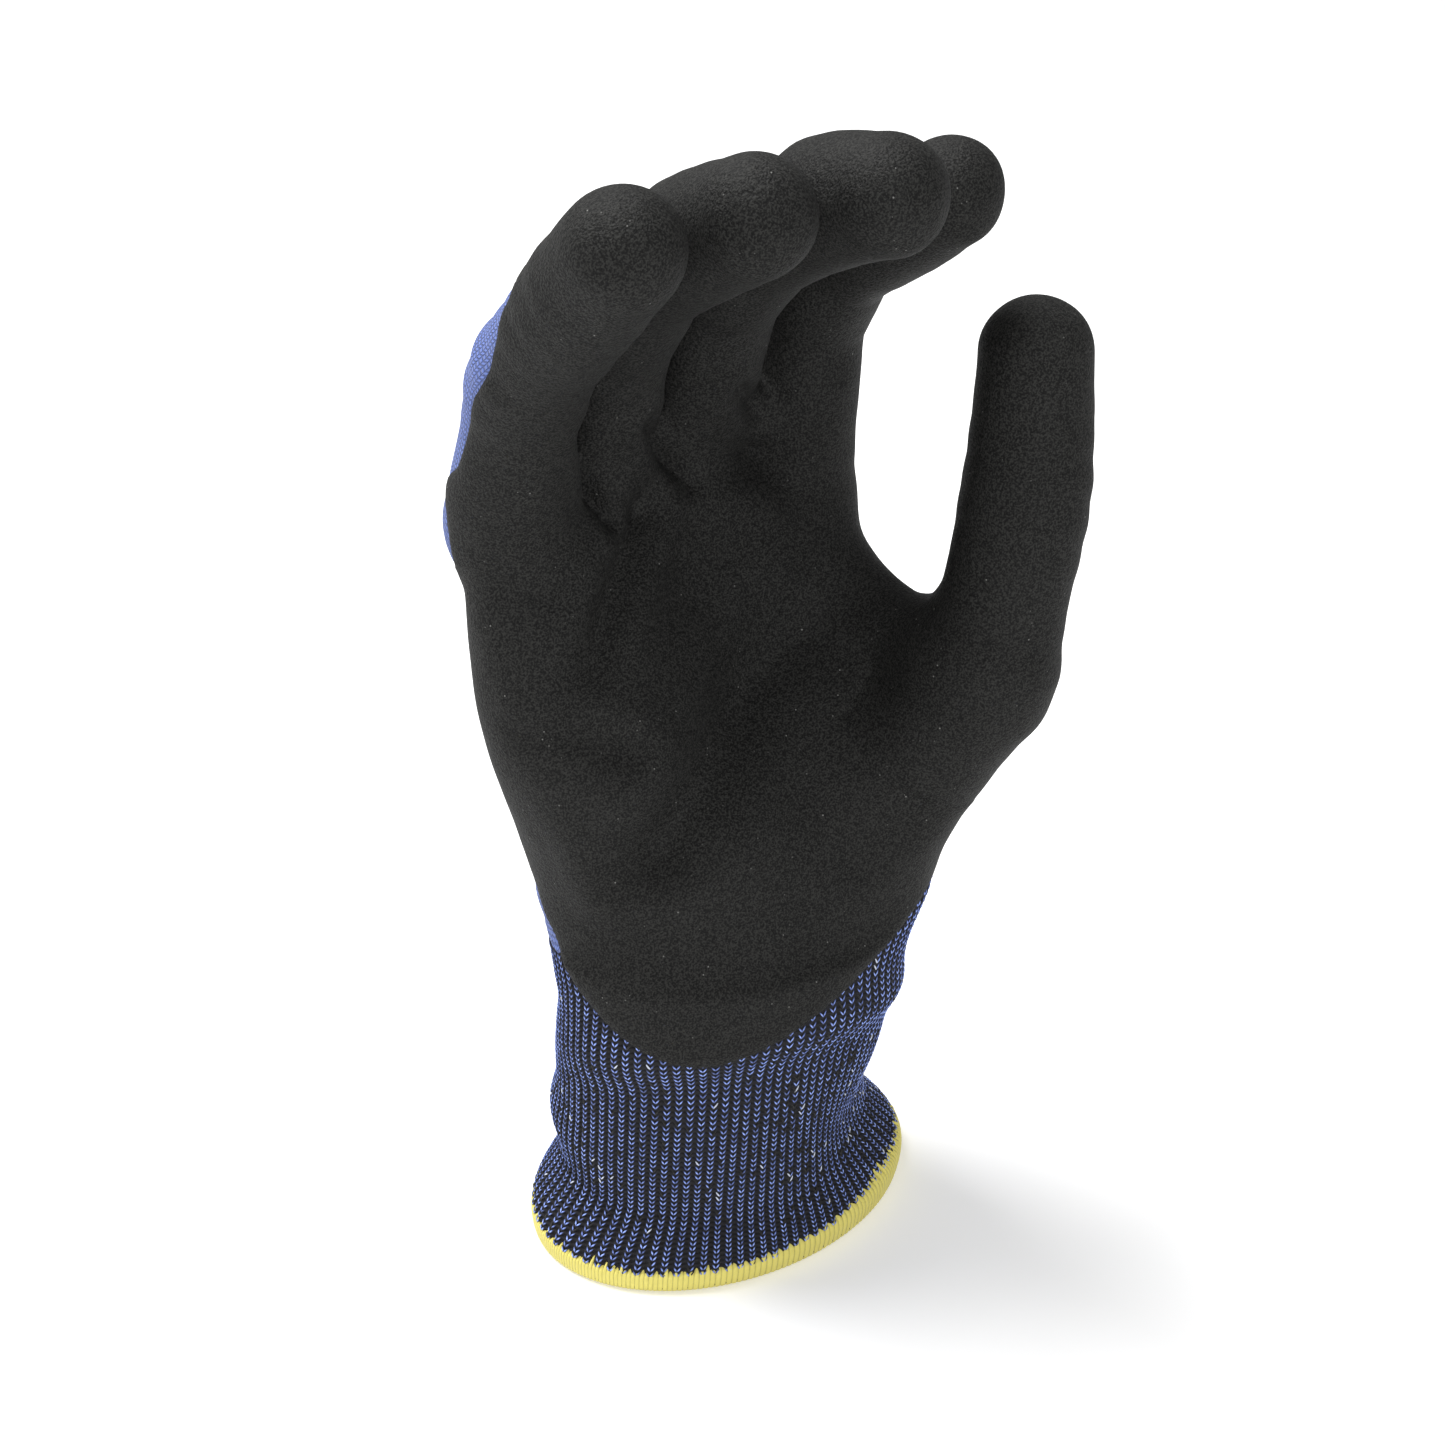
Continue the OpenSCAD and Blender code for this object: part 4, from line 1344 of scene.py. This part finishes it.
def add_floor(scene):
    """A wide white floor that takes shadows, and that glows a little where it is looked at."""
    floor = bpy.data.meshes.new("floor")
    corners = [(x * FLOOR, y * FLOOR, 0) for x, y in ((-1, -1), (1, -1), (1, 1), (-1, 1))]
    floor.from_pydata(corners, [], [(0, 1, 2, 3)])
    ground = bpy.data.objects.new("floor", floor)
    scene.collection.objects.link(ground)
    mat = bpy.data.materials.new("white floor")
    mat.use_nodes = True
    tree = mat.node_tree
    tree.nodes.clear()
    out, diffuse, glow, path, add, mix = (
        tree.nodes.new("ShaderNode" + kind) for kind in
        ("OutputMaterial", "BsdfDiffuse", "Emission", "LightPath", "AddShader", "MixShader"))
    diffuse.inputs["Color"].default_value = tint("floor")
    glow.inputs["Color"].default_value = (1, 1, 1, 1)
    glow.inputs["Strength"].default_value = GLOW
    for source, sink in ((diffuse.outputs[0], add.inputs[0]), (glow.outputs[0], add.inputs[1]),
                         (path.outputs["Is Camera Ray"], mix.inputs[0]),
                         (diffuse.outputs[0], mix.inputs[1]), (add.outputs[0], mix.inputs[2]),
                         (mix.outputs[0], out.inputs[0])):
        tree.links.new(source, sink)
    floor.materials.append(mat)


def add_camera(scene):
    """A camera on a sphere round the aim point, turned about its own line of sight by roll."""
    v = scene.glove_view
    a, e, r = (np.radians(x) for x in (v.azimuth, v.elevation, v.roll))
    back = np.array([np.sin(a) * np.cos(e), -np.cos(a) * np.cos(e), np.sin(e)])
    right = np.array([np.cos(a), np.sin(a), 0])
    up = np.cross(back, right)
    place = Matrix.Identity(4)
    for j, column in enumerate((right * np.cos(r) + up * np.sin(r),
                                up * np.cos(r) - right * np.sin(r), back,
                                (np.array(v.aim) + back * v.distance) / 1000)):
        for i in range(3):
            place[i][j] = column[i]
    cam = bpy.data.cameras.new("camera")
    cam.lens = v.lens
    cam.sensor_width = 36
    cam.clip_start = 0.01
    view = bpy.data.objects.new("camera", cam)
    scene.collection.objects.link(view)
    view.matrix_world = place
    scene.camera = view


# ---------------------------------------------------------------- operators

class GLOVE_OT_cuff(bpy.types.Operator):
    """Build the rib-knit cuff: black ground and blue V stitches"""

    bl_idname = "glove.cuff"
    bl_label = "Rib-knit cuff"

    def execute(self, context):
        add_cuff_ground()
        add_rib_yarn()
        return {"FINISHED"}


class GLOVE_OT_hem(bpy.types.Operator):
    """Build the overlocked hem"""

    bl_idname = "glove.hem"
    bl_label = "Overlocked hem"

    def execute(self, context):
        add_hem()
        return {"FINISHED"}


class GLOVE_OT_skin(bpy.types.Operator):
    """Build the knitted liner and the nitrile coating of the palm and stalls"""

    bl_idname = "glove.skin"
    bl_label = "Liner and coating"

    def execute(self, context):
        net = hand_net()
        palm = ~np.any([between(net, k, low, high) for _, k, _, low, high in groups()], axis=0)
        coat = add_coating("palm_coating_skin", palm, skin("nitrile"))
        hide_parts("palm_coating")
        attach(coat, "hand")
        rise = to_hand(*net["p"].T)[2]
        above = rise[net["tris"]].min(1) > cuff().top - hand_zero()[2] - 3
        knit = add_knit("palm_knit_skin", palm & above, skin("jersey"))
        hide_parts("palm_liner")
        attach(knit, "hand")
        for name, k, part, low, high in groups():
            keep = between(net, k, low, high)
            coat = add_coating(f"{name}_{part}_coating_skin", keep, skin("nitrile"))
            shown = [f"{name}_{part}_coating", f"{name}_{part}_liner",
                     f"{name}_{LENGTHS[part]}_flex"]
            bend_piece(coat, name, part)
            if (keep & (net["least"] < UNDERLAP)).any():
                knit = add_knit(f"{name}_{part}_knit_skin", keep, skin("jersey"))
                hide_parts(shown.pop(1))
                bend_piece(knit, name, part)
            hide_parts(*shown)
        return {"FINISHED"}


class GLOVE_OT_yarn(bpy.types.Operator):
    """Build the elastic yarn inside the cuff"""

    bl_idname = "glove.yarn"
    bl_label = "Elastic yarn"

    def execute(self, context):
        add_elastic()
        return {"FINISHED"}


class GLOVE_OT_stage(bpy.types.Operator):
    """Set the floor, the lights and the camera"""

    bl_idname = "glove.stage"
    bl_label = "Stage"

    def execute(self, context):
        add_stage()
        return {"FINISHED"}


class GLOVE_PT_panel(bpy.types.Panel):
    """Builds the glove piece by piece"""

    bl_label = "Cut resistant glove"
    bl_idname = "GLOVE_PT_panel"
    bl_space_type = "VIEW_3D"
    bl_region_type = "UI"
    bl_category = "Glove"

    def draw(self, context):
        for op in OPERATORS:
            self.layout.operator(op.bl_idname)
        for group in (context.scene.glove_shape, context.scene.glove_cuff,
                      context.scene.glove_colours, context.scene.glove_view):
            box = self.layout.box()
            for key in group.__annotations__:
                box.prop(group, key)


OPERATORS = (GLOVE_OT_skin, GLOVE_OT_cuff, GLOVE_OT_hem, GLOVE_OT_yarn, GLOVE_OT_stage)
GROUPS = (("glove_shape", GloveShape), ("glove_cuff", GloveCuff),
          ("glove_colours", GloveColours), ("glove_view", GloveView))


def register():
    for _, cls in GROUPS:
        bpy.utils.register_class(cls)
    for cls in OPERATORS + (GLOVE_PT_panel,):
        bpy.utils.register_class(cls)
    for name, cls in GROUPS:
        setattr(bpy.types.Scene, name, PointerProperty(type=cls))


def unregister():
    for name, _ in GROUPS:
        delattr(bpy.types.Scene, name)
    for cls in (GLOVE_PT_panel,) + OPERATORS[::-1]:
        bpy.utils.unregister_class(cls)
    for _, cls in GROUPS[::-1]:
        bpy.utils.unregister_class(cls)


def main():
    register()
    bpy.ops.glove.skin()
    bpy.ops.glove.cuff()
    bpy.ops.glove.hem()
    bpy.ops.glove.yarn()
    bpy.ops.glove.stage()


if __name__ == "__main__":
    main()
